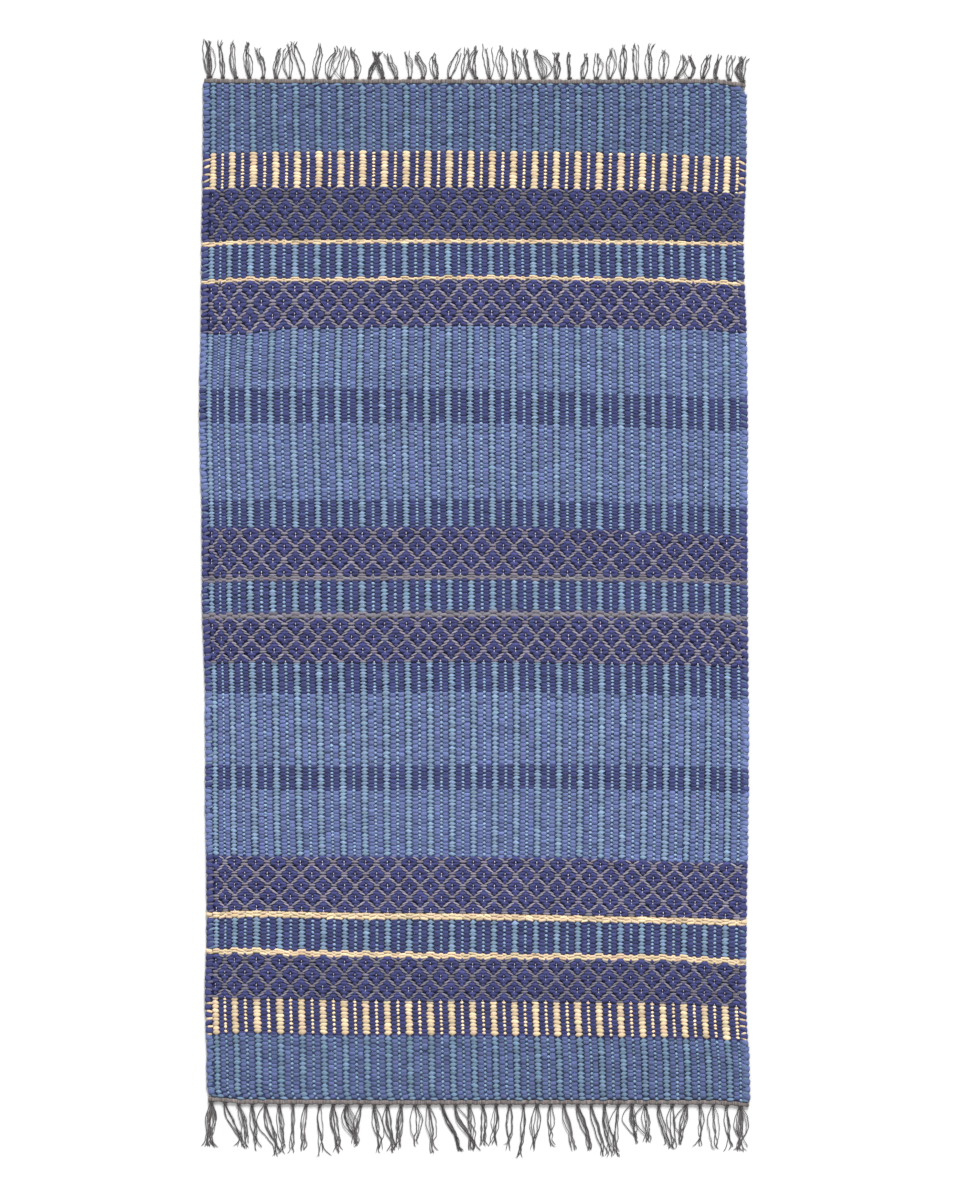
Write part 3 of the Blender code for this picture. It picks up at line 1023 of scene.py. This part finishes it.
        steps = np.array([-1.0, *form.places, 1.0])
        section = np.array(form.section)
        end_at = middle[:, None] + reach[:, None] * steps
        sway = BANDS[number].sway / 1000 * np.cos(2 * math.pi * end_at / REPEAT_ENDS)
        downs = down[:, None] + sway
        x = self.layout.x_of(end_at, downs)
        y = self.layout.y_of(x, downs)
        y = y + slant[:, None] * (x - 0.5 * (x[:, :1] + x[:, -1:]))
        wide = self.layout.pitch_at(x[:, 1:-1], downs[:, 1:-1], spacing[:, None])
        wide = wide * look.fullness * swell[:, None] * np.array(form.widths)
        room = np.minimum(down, RUG_LENGTH - down) - HEADING_WIDTH + self.heading_lap * spacing
        wide = np.minimum(wide, room[:, None])
        crest = look.crest / 1000 * np.array(form.crests) * (0.5 + 0.5 * swell[:, None])
        if back:
            base = self.back_height + (self.back_tip - self.back_height) * np.abs(steps) ** 3
            base = np.broadcast_to(base, x.shape)
            crest = np.minimum(crest, base[:, 1:-1])
        else:
            top = self.rise_at(x, downs, BANDS[number])
            base = top - (look.crest + (look.dip - look.crest) * np.abs(steps) ** 3) / 1000
        rings = np.empty((*wide.shape, len(section), 3))
        rings[..., 0] = x[:, 1:-1, None]
        rings[..., 1] = y[:, 1:-1, None] + wide[..., None] * section[:, 0]
        rings[..., 2] = base[:, 1:-1, None] + crest[..., None] * section[:, 1]
        tips = np.stack([x[:, [0, -1]], y[:, [0, -1]], base[:, [0, -1]]], axis=-1)

        tone = BANDS[number].tone * look.shade
        tone = tone * (1 + self.tone_wave * tones.at(pick_of, middle * WARP_PITCH))
        tone = tone * (1 + scatter(rng, self.tone_jitter, count, -0.2, 0.3))
        yarn = yarn * (1 + scatter(rng, self.hue_jitter, (count, 3), -0.1, 0.1))
        # Painted shade, or painted light, towards the floats' tips, where the yarn dips between the ends.
        shades = 1 - (1 - look.tip_painted_shading) * np.abs(np.array([*form.places, 1.0, 1.0])) ** 3
        colours = yarn[:, None] * tone[:, None, None] * shades[:, None]
        # Painted shade on the top floats' sides and a painted highlight on their far crest; the underside
        # takes none.
        around = np.ones((1, len(section), 3))
        if not back:
            shaded = np.array(SECTION_PAINTED_SHADE)[None, :, None]
            lit = np.array(SECTION_PAINTED_LIGHT)[None, :, None]
            around = (1 - look.gap * (1 - shadow))[:, None] * shaded + lit
        cells = self._cells(middle, down, spacing, reach, number, back)
        bodies.add(rings, tips, colours, around, cells, flat=True)

    @staticmethod
    def _positions(
        picks: list[Pick], chosen: list[int], ends: int, back: bool
    ) -> tuple[NDArray[np.int64], Array]:
        """Every float of one length: the number of its pick and its middle end.

        Args:
            picks: the band's picks.
            chosen: the numbers of the picks to take.
            ends: how many warp ends each float covers.
            back: whether to take the underside, where a pick shows in the opposite shed.

        Returns:
            The pick numbers and the end numbers.
        """
        repeats = FIRST_WIDE_END + REPEAT_ENDS * np.arange(-1, WARP_ENDS // REPEAT_ENDS + 1)
        numbers, middles = [np.empty(0, int)], [np.empty(0)]
        for number in chosen:
            shed = picks[number].shed.opposite() if back else picks[number].shed
            for offset, covered in shed.value:
                if covered == ends:
                    middle = repeats + offset
                    inside = (middle > TURN_ENDS[0]) & (middle < WARP_ENDS - 1 - TURN_ENDS[1])
                    middle = middle[inside]
                    middles.append(middle)
                    numbers.append(np.full(len(middle), number))
        return np.concatenate(numbers), np.concatenate(middles)

    @staticmethod
    def _cells(
        middle: Array, down: Array, spacing: Array, reach: Array, number: int, back: bool
    ) -> Array:
        """Each float's cell in the bake map, which lies as the float does on the rug.

        The band's width is folded into four strips, the top face's above the underside's.

        Args:
            middle: the floats' middle ends.
            down: their distances down.
            spacing: the picks' spacing.
            reach: how many ends each reaches to either side.
            number: the band's place in BANDS.
            back: whether the floats lie on the underside.

        Returns:
            (float, 4): each cell's corner and size.
        """
        folds, margin, shrink = 4, 0.035, 0.90
        first = BANDS[number - 1].down_to / 1000 if number else HEADING_WIDTH
        last = BANDS[number].down_to / 1000
        share = (middle + 0.5) / WARP_ENDS * folds
        fold = np.clip(np.floor(share), 0, folds - 1)
        scale = 1 - 2 * margin
        u = (share - fold) * scale + margin
        width = 2 * reach / WARP_ENDS * folds * scale * shrink
        reach_down = last - first + 2 * spacing
        v = (down - first + spacing) / reach_down
        height = 2 * spacing / reach_down * shrink
        row = fold + (folds if back else 0)
        corner_v = (row + (v - height / 2) * scale + margin) / (2 * folds)
        return np.stack([u - width / 2, corner_v, width, height * scale / (2 * folds)], axis=1)

    def selvedge_turns(self, side: float, name: str) -> bpy.types.Object:
        """The weft's turns round one selvedge, a dark and a light one by turns.

        A turn is a flattened tube along a C: in over the top, round the edge and back in
        under the rug. Its section is an ellipse, narrower towards both tips. Where the
        light yarn isn't cream, part of its turns are worn towards the dark yarn's colour.

        Args:
            side: -1 for the left selvedge, 1 for the right one.
            name: the piece's name.

        Returns:
            The piece.
        """
        rng = self.rng
        rows = []
        for number, band in enumerate(BANDS):
            start = BANDS[number - 1].down_to / 1000 if number else HEADING_WIDTH + PART_GAP
            pairs = max(1, round((band.down_to / 1000 - start) / self.turn_pitch))
            pitch = (band.down_to / 1000 - start) / pairs
            for i in range(pairs):
                for turn in (DARK_TURN, LIGHT_TURN):
                    yarn = band.dark if turn is DARK_TURN else band.light
                    fast = turn is DARK_TURN or yarn is Yarn.CREAM
                    worn = 0.0 if fast else self.turn_wear * rng.random()
                    colour = (1 - worn) * np.array(yarn.value) + worn * np.array(band.dark.value)
                    down = start + (i + turn.place) * pitch
                    size = (down, turn.half_width * pitch, turn.thickness, turn.inset, band.rise)
                    rows.append((*size, *colour, *painted_shade_of(yarn)))
        table = np.array(rows)
        down, half_width, thickness, inset, rise = table[:, :5].T
        count = len(table)
        path = np.array(TURN_PATH) / 1000
        bulk = np.array(TURN_BULK)
        length = 1 + scatter(rng, 0.10, count, -0.2, 0.2)
        inset = inset + rng.uniform(-0.0004, 0.0005, count)
        inward = path[None, :, 0] * length[:, None] + inset[:, None]
        up = path[None, :, 1] + rise[:, None] / 1000 * (path[None, :, 1] > self.turn_middle)
        left, right = self.layout.selvedges(self.layout.top_y - down)
        edge = right if side > 0 else left
        x = edge[:, None] - side * inward
        downs = np.broadcast_to(down[:, None], x.shape)
        tilt = rng.normal(*self.turn_tilt, count)
        y = self.layout.y_of(x, downs) + tilt[:, None] * (inward - self.turn_pivot)
        run_x, run_z = np.gradient(x, axis=1), np.gradient(up, axis=1)
        norm = np.hypot(run_x, run_z)
        out_x, out_z = -run_z / norm * side, run_x / norm * side
        angle = np.linspace(0, 2 * math.pi, self.turn_sides + 1)[:-1]
        wide = (half_width * (1 + scatter(rng, 0.12, count, -0.25, 0.3)))[:, None] * bulk
        thick = thickness[:, None] * bulk
        across = -np.cos(angle) * side
        lift = np.sin(angle)
        inner = slice(1, -1)
        rings = np.empty((count, len(path) - 2, len(angle), 3))
        rings[..., 0] = x[:, inner, None] + (out_x * thick)[:, inner, None] * lift
        rings[..., 1] = y[:, inner, None] + wide[:, inner, None] * across
        rings[..., 2] = up[:, inner, None] + (out_z * thick)[:, inner, None] * lift
        tips = np.stack([x[:, [0, -1]], y[:, [0, -1]], up[:, [0, -1]]], axis=-1)
        tone = self.turn_tone * (1 + scatter(rng, 0.10, count, -0.2, 0.25))
        colours = np.repeat((table[:, 5:8] * tone[:, None])[:, None], len(path), axis=1)
        # Painted shade on the turns' tips, where they tuck under.
        colours[:, -2:] *= self.turn_tip_painted_shade
        # Painted shade on the turns' sides and a painted highlight on the rest.
        sideways = (np.abs(across) > 0.9)[None, :, None]
        around = np.where(sideways, table[:, None, 8:11], self.turn_painted_highlight)
        bodies = Bodies()
        bodies.add(rings, tips, colours, around, grid_cells(count, 16), flat=False)
        return bodies.make(name, self.finish)

    def warp_sheet(self) -> bpy.types.Object:
        """The warp that the weft covers: a thin closed slab, dark between the floats.

        Its top and underside are one grid each, from the first end inside a selvedge's
        turns to the last, and its rim joins them. Its colour is painted shade: its band's dark
        yarn darkened, with a row of points on either side of each border between bands.
        """
        columns, even_rows = 48, 60
        low, high = 0.0017, 0.0032
        border = 0.0004
        ends = np.linspace(0.4, WARP_ENDS - 1.4, columns)
        first, last = HEADING_WIDTH + 2 * PART_GAP, RUG_LENGTH - HEADING_WIDTH - 2 * PART_GAP
        edges = np.array([band.down_to for band in BANDS[:-1]]) / 1000
        downs = np.concatenate([np.linspace(first, last, even_rows), edges - border, edges + border])
        downs = np.sort(downs)
        rows = len(downs)
        end_grid, down_grid = np.meshgrid(ends, downs, indexing="xy")
        x = self.layout.x_of(end_grid, down_grid)
        y = self.layout.y_of(x, down_grid)
        top = np.stack([x, y, np.full_like(x, high)], axis=-1).reshape(-1, 3)
        under = np.stack([x, y, np.full_like(x, low)], axis=-1).reshape(-1, 3)
        points = np.concatenate([top, under])
        number = np.arange(rows * columns).reshape(rows, columns)
        a, b = number[:-1, :-1].ravel(), number[:-1, 1:].ravel()
        c, d = number[1:, 1:].ravel(), number[1:, :-1].ravel()
        shift = rows * columns
        faces = [np.stack([a, d, c, b], axis=1), np.stack([a, b, c, d], axis=1) + shift]
        rim = np.concatenate([number[0, :-1], number[:-1, -1], number[-1, :0:-1], number[:0:-1, 0]])
        after = np.roll(rim, -1)
        faces.append(np.stack([rim, after, after + shift, rim + shift], axis=1))
        quads = np.concatenate(faces)
        mesh = bpy.data.meshes.new("warp_sheet")
        mesh.from_pydata(points.tolist(), [], quads.tolist())
        band_at = np.searchsorted(edges, downs)
        # The sheet's colour is painted shade: its band's dark yarn, darkened.
        dark = np.array([band.dark.value for band in BANDS])[band_at] * np.array(self.warp_painted_shade)
        colour = np.ones((2, rows, columns, 4), np.float32)
        colour[..., :3] = dark[None, :, None]
        paint(mesh, colour)
        finish = YarnFinish("warp_cotton", (1700.0, 40.0, 300.0), 0.25)
        return place("warp_sheet", mesh, finish.material())


class Tassel(NamedTuple):
    """One knotted tassel: how far its tips lie to the right of its knot, and from the
    rug's end to its tips, in millimetres."""

    lean: float
    reach: float


FAR_TASSELS = tuple(
    Tassel(*row)
    for row in (
        (-3, 59), (-5, 59), (-4, 61), (-4, 57), (-9, 48), (7, 47), (0, 54), (-13, 58),
        (6, 54), (12, 51), (7, 50), (-6, 48), (13, 42), (-10, 42), (-12, 41), (-4, 43),
        (-10, 43), (-4, 42), (13, 48), (6, 50), (-1, 51), (-4, 54), (-3, 53), (-3, 48),
        (-7, 47), (-10, 45), (0, 43), (-2, 43), (4, 40), (3, 40), (3, 47), (1, 53),
        (-1, 54), (0, 54), (4, 46), (10, 38), (1, 37), (7, 37), (4, 38), (2, 40), (0, 40),
    )
)

NEAR_TASSELS = tuple(
    Tassel(*row)
    for row in (
        (-3, 69), (25, 69), (10, 67), (7, 70), (16, 78), (6, 75), (-1, 75), (-4, 70),
        (4, 78), (7, 73), (15, 63), (-10, 59), (9, 73), (7, 72), (-4, 67), (1, 62),
        (6, 73), (26, 70), (29, 70), (2, 69), (1, 62), (-4, 62), (-1, 69), (-5, 81),
        (-4, 70), (1, 63), (13, 70), (19, 69), (18, 78), (9, 80), (-3, 78), (6, 59),
        (4, 57), (14, 67), (3, 67), (-10, 60), (0, 63), (4, 67), (6, 69), (0, 67),
    )
)


@dataclass
class Fringe:
    """One end's heading, knots and loose threads.

    Attributes:
        layout: where ends and picks lie.
        rng: the source of the threads' unevenness.
        node: the frame's node that these pieces stand for.
        tassels: the lean and reach of each tassel.
        outward: 1 where the fringe points to +Y, -1 where it points to -Y.
        pinch: where along the threads they come together again, as a share.
        curl: how far the threads waver towards their tips, in metres.
        hook: how far the very tips turn aside, in metres.
        fewest_threads: threads of the thinnest tassel.
        most_threads: threads of the thickest tassel.
        corner_threads: threads of the tassel at each corner.
        opening: how far the threads part at the most, in metres.
        thread_radius: a thread's mean radius, in metres.
        thread_steps: rings along a thread.
        thread_sides: points round a thread or a knot's yarn.
        thread_painted_shading: painted shade and painted highlight on each of these points, dark at the
            sides and light on the top, from one side over the top.
        radius_range: the least and the most of a thread's radius, as shares of the mean.
        root_half: half the width of a tassel at its knot, in metres.
        root_out: how far from the rug's end the threads start, in metres.
        root_lift: how far they lie off the floor there, in metres.
        open_range: the least and the most that a tassel opens, as shares of the opening.
        part_range: the least and the most that its tips part, in metres.
        corner_open: how much more a corner's tassel opens.
        corner_part: how much more its tips part.
        bow: how far whole tassels bow sideways, in metres.
        stray: how far single threads bow off their tassel, in metres.
        loose: how far loose threads do, in metres.
        loose_share: the share of threads that are loose.
        turns_range: the least and the most waves in a thread.
        kink: the depth of the small waves on these, in metres.
        kink_turns: small waves in one wave.
        hook_from: where along a thread its tip starts to turn aside, as a share.
        hook_span: the share of the thread that does.
        short_by: how much shorter than its tassel a thread is at the most, in metres.
        short_share: the share of threads that are shorter.
        out_wave: how far the waves shift a thread outwards, in metres.
        ride_up: how far a thread rides up on others at the most, in metres.
        knot_scale: the size of a knot's trefoil, in metres.
        knot_yarn: radius of a knot's doubled threads, in metres.
        knot_steps: points along a knot.
        knot_level: the height of a knot's middle and of its waves, in metres.
        knot_shade: shade of the knots beside the threads.
        corner_knot: how much larger the knots at the corners are.
        profile: the heading's section, outwards from the cloth and up, in mm.
        waver: the sines of the heading's outer edge: radians in a metre, and the phase.
        waver_depth: how far each of them shifts the edge, as a share.
        rib_swell: the height of the heading's ribs, in mm.
        ply_swell: the height of the slanting plies on them, in mm.
    """

    layout: Layout
    rng: np.random.Generator
    node: str
    tassels: tuple[Tassel, ...]
    outward: float
    pinch: float
    curl: float
    hook: float
    fewest_threads: int
    most_threads: int
    corner_threads: int
    opening: float
    thread_radius: float = 0.00060
    thread_steps: int = 16
    thread_sides: int = 5
    thread_painted_shading: tuple[float, ...] = (0.15, 1.70, 1.70, 0.15, 0.3)
    radius_range: tuple[float, float] = (0.8, 1.2)
    root_half: float = 0.0009
    root_out: float = 0.0010
    root_lift: float = 0.0010
    open_range: tuple[float, float] = (0.25, 1.0)
    part_range: tuple[float, float] = (0.0008, 0.0046)
    corner_open: float = 1.3
    corner_part: float = 1.4
    bow: float = 0.0020
    stray: float = 0.0014
    loose: float = 0.0065
    loose_share: float = 0.15
    turns_range: tuple[float, float] = (1.2, 2.6)
    kink: float = 0.00060
    kink_turns: float = 2.4
    hook_from: float = 0.84
    hook_span: float = 0.16
    short_by: float = 0.008
    short_share: float = 0.5
    out_wave: float = 0.0012
    ride_up: float = 0.0016
    knot_scale: float = 0.00092
    knot_yarn: float = 0.00105
    knot_steps: int = 27
    knot_level: tuple[float, float] = (0.0022, 0.0010)
    knot_shade: float = 0.75
    corner_knot: float = 1.35
    profile: tuple[tuple[float, float], ...] = (
        (-0.2, 1.2), (0.1, 3.3), (1.7, 3.9), (3.3, 3.7), (4.9, 3.9), (6.2, 2.9), (6.6, 1.0), (3.0, 0.0),
    )
    waver: tuple[tuple[float, float], ...] = ((310, 1.3), (127, 0.0), (760, 0.4))
    waver_depth: float = 0.05
    rib_swell: float = 0.16
    ply_swell: float = 0.30

    def knot_line(self) -> tuple[Array, Array]:
        """X and y of each knot's middle, from the frame's own knots.

        Each solid knot has two points at the knots' height, one on either side.
        """
        points = mesh_points(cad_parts[self.node])
        tops = points[np.abs(points[:, 2] - KNOT_HEIGHT) < SAME_HEIGHT]
        pairs = np.unique(tops.round(6), axis=0)
        pairs = pairs[np.argsort(pairs[:, 0])].reshape(-1, 2, 3)
        middle = pairs.mean(axis=1)
        return middle[:, 0], middle[:, 1]

    def heading(self, finish: bpy.types.Material) -> bpy.types.Object:
        """The narrow woven strip that closes the rug's end, one fine rib for each end.

        The profile is carried along the end line. Its height swells over each rib as half
        a sine and with slanting plies, and its outer edge wavers with three sines.
        """
        ribs = WARP_ENDS
        share = np.linspace(0.0, 1.0, 4 * ribs + 1)
        end_x = self.layout.far_x if self.outward > 0 else self.layout.near_x
        end_y = self.layout.far_y if self.outward > 0 else self.layout.near_y
        x = end_x[0] + (end_x[-1] - end_x[0]) * share
        inner = np.interp(x, end_x, end_y)
        rib = np.abs(np.sin(math.pi * ribs * share))
        waver = sum(np.sin(rate * x + phase) for rate, phase in self.waver)
        out = np.array([point[0] for point in self.profile]) / 1000
        up = np.array([point[1] for point in self.profile]) / 1000
        edge = out[None] * (1 + self.waver_depth * waver[:, None])
        cross = 0.5 + 0.5 * np.sin(math.pi * ribs * share[:, None] * 2 + out[None] * 3200)
        swell = (self.rib_swell * rib[:, None] + self.ply_swell * cross) * 0.001 * (up[None] > 0.002)
        points = np.empty((len(x), len(out), 3))
        points[..., 0] = x[:, None]
        points[..., 1] = (inner + self.outward * PART_GAP)[:, None] + self.outward * edge
        points[..., 2] = up[None] + swell
        rings = points[1:-1][None]
        if self.outward < 0:
            rings = rings[:, :, ::-1]
        tips = np.stack([points[0].mean(axis=0), points[-1].mean(axis=0)])[None]
        bodies = Bodies()
        tone = 1 + scatter(self.rng, 0.26, (1, len(x), 1), -0.5, 0.55)
        colours = np.array(Yarn.TWINE.value) * tone
        around = np.ones((1, len(out), 3))
        bodies.add(rings, tips, colours, around, np.array([[0.0, 0.0, 1.0, 1.0]]), flat=False)
        return bodies.make(self.node.replace("fringe", "heading"), finish)

    def threads(self, finish: bpy.types.Material) -> bpy.types.Object:
        """The loose threads of all tassels, lying on the floor, and the knots they leave.

        A thread runs from its knot to its tassel's tips. Sideways it follows a smooth
        step to the tassel's lean, plus its first lane times a half sine, plus its last
        lane times the place squared, plus a small wave that grows towards the tip. The
        two lanes are shuffled, so that threads cross.
        """
        rng = self.rng
        knot_x, knot_y = self.knot_line()
        counts = rng.integers(self.fewest_threads, self.most_threads + 1, len(knot_x))
        counts[[0, -1]] = self.corner_threads
        which = np.repeat(np.arange(len(knot_x)), counts)
        total = len(which)
        first_lane = np.concatenate([np.linspace(-1, 1, n) for n in counts])
        last_lane = np.concatenate([rng.permutation(np.linspace(-1, 1, n)) for n in counts])
        corner = np.isin(which, (0, len(knot_x) - 1))
        lean = np.array([t.lean for t in self.tassels])[which] / 1000
        reach = np.array([t.reach for t in self.tassels])[which] / 1000
        t = np.linspace(0, 1, self.thread_steps + 2)[None]
        ease = t * t * (3 - 2 * t)
        open_by = rng.uniform(*self.open_range, len(knot_x))[which] * self.opening
        open_by = open_by * np.where(corner, self.corner_open, 1.0)
        part_by = rng.uniform(*self.part_range, len(knot_x))[which]
        part_by = part_by * np.where(corner, self.corner_part, 1.0)
        bow = rng.normal(0, self.bow, len(knot_x))[which]
        stray = rng.normal(0, self.stray, total)
        loose = rng.normal(0, self.loose, total) * (rng.random(total) < self.loose_share)
        belly = first_lane * open_by + bow + stray + loose
        x = (knot_x[which] + first_lane * self.root_half)[:, None] + lean[:, None] * ease
        x = x + belly[:, None] * np.sin(math.pi * np.minimum(t / self.pinch, 1.0))
        x = x + (last_lane * part_by + stray)[:, None] * t**2
        phase = rng.uniform(0, 2 * math.pi, (total, 1))
        turns = rng.uniform(*self.turns_range, (total, 1))
        x = x + self.curl * t**1.4 * (np.sin(2 * math.pi * turns * t + phase) - 0.5 * np.sin(phase))
        x = x + self.kink * np.sin(2 * math.pi * turns * self.kink_turns * t + 2 * phase) * t**0.5
        turned = np.maximum(0.0, (t - self.hook_from) / self.hook_span) ** 2
        hook = rng.normal(0, 1.0, (total, 1)) * turned
        x = x + self.hook * hook
        short = reach - rng.uniform(0, self.short_by, total) * (rng.random(total) < self.short_share)
        out = self.root_out + (short - self.root_out)[:, None] * t
        out = out + self.out_wave * t * np.cos(2 * math.pi * turns * t + phase)
        ride_up = rng.uniform(0.0, self.ride_up, (total, 1)) * np.sin(math.pi * t) ** 0.5
        radius = self.thread_radius * rng.uniform(*self.radius_range, total)
        z = radius[:, None] + ride_up + self.root_lift * (1 - t) ** 4
        y = self.end_y(knot_x)[which][:, None] + self.outward * out
        path = np.stack([x, y, z], axis=-1)
        rings, tips = self.tubes(path, radius)
        tone = 1 + scatter(rng, 0.38, total, -0.55, 0.9)
        colours = np.array(Yarn.FRINGE.value) * tone[:, None, None]
        colours = np.repeat(colours, path.shape[1], axis=1)
        bodies = Bodies()
        cells = grid_cells(total, 4)
        # Painted shade on the threads' sides and a painted highlight on their tops.
        around = np.array(self.thread_painted_shading)[None, :, None]
        bodies.add(rings, tips, colours, around, cells, flat=False)
        self.add_knots(bodies, knot_x, knot_y)
        return bodies.make(self.node.replace("fringe", "threads"), finish)

    def end_y(self, x: Array) -> Array:
        """Y of the rug's end, the outer edge of the heading, at x."""
        if self.outward > 0:
            return np.interp(x, self.layout.far_x, self.layout.far_y) + HEADING_WIDTH
        return np.interp(x, self.layout.near_x, self.layout.near_y) - HEADING_WIDTH

    def tubes(self, path: Array, radius: Array) -> tuple[Array, Array]:
        """Round tubes along paths that lie almost level.

        Args:
            path: (tube, step, xyz).
            radius: each tube's radius.

        Returns:
            The rings and the tips: each ring is square to its path, with its first
            point on the path's right, and stays upright.
        """
        run = np.gradient(path, axis=1)
        run = run / np.linalg.norm(run, axis=-1, keepdims=True)
        up = np.array([0.0, 0.0, 1.0])
        aside = np.cross(up, run)
        aside = aside / np.maximum(np.linalg.norm(aside, axis=-1, keepdims=True), 1e-9)
        above = np.cross(run, aside)
        angle = np.linspace(0, 2 * math.pi, self.thread_sides + 1)[:-1] - math.pi / 10
        offset = -np.cos(angle)[:, None] * aside[:, :, None] + np.sin(angle)[:, None] * above[:, :, None]
        rings = path[:, :, None] + radius[:, None, None, None] * offset
        return rings[:, 1:-1], path[:, [0, -1]]

    def add_knots(self, bodies: Bodies, knot_x: Array, knot_y: Array) -> None:
        """Adds each tassel's knot, a short fat overhand knot of its doubled threads.

        The knot's line is a trefoil: x is sin t + 2 sin 2t, y is cos t - 2 cos 2t and z
        is -sin 3t. It is cut open at one place, where its two tips meet.

        Args:
            bodies: where the knots are gathered.
            knot_x: the knots' x.
            knot_y: their y.
        """
        count = len(knot_x)
        t = np.linspace(0, 2 * math.pi, self.knot_steps)[None]
        t = t + self.rng.uniform(0, 2 * math.pi, (count, 1))
        scale = self.knot_scale * (1 + self.rng.normal(0, 0.08, (count, 1)))
        scale[[0, -1]] *= self.corner_knot
        x = knot_x[:, None] + scale * (np.sin(t) + 2 * np.sin(2 * t))
        y = knot_y[:, None] + scale * (np.cos(t) - 2 * np.cos(2 * t))
        z = self.knot_level[0] - self.knot_level[1] * np.sin(3 * t)
        path = np.stack([x, y, z], axis=-1)
        rings, tips = self.tubes(path, np.full(count, self.knot_yarn))
        colours = np.tile(np.array(Yarn.FRINGE.value) * self.knot_shade, (count, path.shape[1], 1))
        # Painted shade on the knots' sides and a painted highlight on their tops.
        around = np.array(self.thread_painted_shading)[None, :, None]
        bodies.add(rings, tips, colours, around, grid_cells(count, 4), flat=False)


@dataclass(frozen=True)
class Studio:
    """A pale floor, soft light from all round and a camera straight above.

    Attributes:
        view_height: how much of the length the picture takes in, in metres.
        centre: the point of the floor in the picture's middle.
        distance: how high the camera stands, far enough for a straight-down look.
        floor_size: the floor's length and width, in metres.
        floor_tone: the floor's colour, the same in red, green and blue.
        floor_roughness: how matt the floor is.
        sky: strength of the light from all round.
    """

    view_height: float = 1.758
    centre: tuple[float, float] = (0.0078, -0.0022)
    distance: float = 7.0
    floor_size: float = 12.0
    floor_tone: float = 0.93
    floor_roughness: float = 0.95
    sky: float = 0.40

    def build(self) -> None:
        """Makes the floor, the light and the camera, and picks plain display colours."""
        self._floor()
        self._light()
        self._camera()
        bpy.context.scene.view_settings.view_transform = "Standard"

    def _floor(self) -> None:
        """A wide matt floor just under the rug, almost white."""
        half = self.floor_size / 2
        mesh = bpy.data.meshes.new("floor")
        corners = [(-half, -half, 0.0), (half, -half, 0.0), (half, half, 0.0), (-half, half, 0.0)]
        mesh.from_pydata(corners, [], [(0, 1, 2, 3)])
        material = bpy.data.materials.new("floor_paper")
        material.use_nodes = True
        shader = material.node_tree.nodes["Principled BSDF"]
        shader.inputs["Base Color"].default_value = (*[self.floor_tone] * 3, 1.0)
        shader.inputs["Roughness"].default_value = self.floor_roughness
        place("floor", mesh, material)

    def _light(self) -> None:
        """An even sky of soft light, and one broad soft sun from the far left."""
        world = bpy.data.worlds.new("studio")
        world.use_nodes = True
        background = world.node_tree.nodes["Background"]
        background.inputs["Color"].default_value = (1.0, 1.0, 1.0, 1.0)
        background.inputs["Strength"].default_value = self.sky
        bpy.context.scene.world = world
        for name, strength, tilt, turn, spread in (
            ("key", 3.9, 60.0, -12.0, 20.0),
            ("fill", 0.5, 45.0, 150.0, 40.0),
        ):
            light = bpy.data.lights.new(name, "SUN")
            light.energy = strength
            light.angle = math.radians(spread)
            lamp = bpy.data.objects.new(name, light)
            lamp.rotation_euler = (math.radians(-tilt), 0.0, math.radians(turn))
            bpy.context.scene.collection.objects.link(lamp)

    def _camera(self) -> None:
        """A long lens straight above the rug, with +Y up in the picture."""
        camera = bpy.data.cameras.new("camera")
        camera.sensor_fit = "VERTICAL"
        camera.angle_y = 2 * math.atan(self.view_height / 2 / self.distance)
        camera.clip_end = 50.0
        eye = bpy.data.objects.new("camera", camera)
        eye.location = (*self.centre, self.distance)
        bpy.context.scene.collection.objects.link(eye)
        bpy.context.scene.camera = eye


def report(piece: bpy.types.Object) -> None:
    """Logs a finished piece and its faces."""
    LOG.info("%s: %d faces", piece.name, len(piece.data.polygons))


def main() -> None:
    """Builds the rug's cloth, its fringes and the studio, and attaches each piece to the root body and logs
    it.
    """
    logging.basicConfig(level=logging.INFO, format="%(message)s")
    rng = np.random.default_rng(SEED)
    layout = Layout()
    weft = YarnFinish("rag_weft", (70.0, 1500.0, 900.0), 0.16).material()
    cloth = Cloth(layout, rng, weft)
    weave = [cloth.weave_band(number) for number in range(len(BANDS))]
    weave.append(cloth.selvedge_turns(-1.0, "turns_left"))
    weave.append(cloth.selvedge_turns(1.0, "turns_right"))
    sheet = cloth.warp_sheet()
    twine = YarnFinish("grey_twine", (1400.0, 700.0, 900.0), 0.30, bump=0.5).material()
    fringe = []
    far = Fringe(
        layout, rng, "fringe_far", FAR_TASSELS, outward=1.0, pinch=0.90, curl=0.0014, hook=0.0018,
        fewest_threads=4, most_threads=6, corner_threads=9, opening=0.0062,
    )
    near = Fringe(
        layout, rng, "fringe_near", NEAR_TASSELS, outward=-1.0, pinch=0.78, curl=0.0021, hook=0.0036,
        fewest_threads=4, most_threads=7, corner_threads=12, opening=0.0058,
    )
    for node, end in (("fringe_far", far), ("fringe_near", near)):
        heading = end.heading(twine)
        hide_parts(node)
        fringe += [heading, end.threads(twine)]
    for piece in weave + [sheet] + fringe:
        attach(piece, "root")
        report(piece)
    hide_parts("woven_cloth")
    Studio().build()


if __name__ == "__main__":
    main()
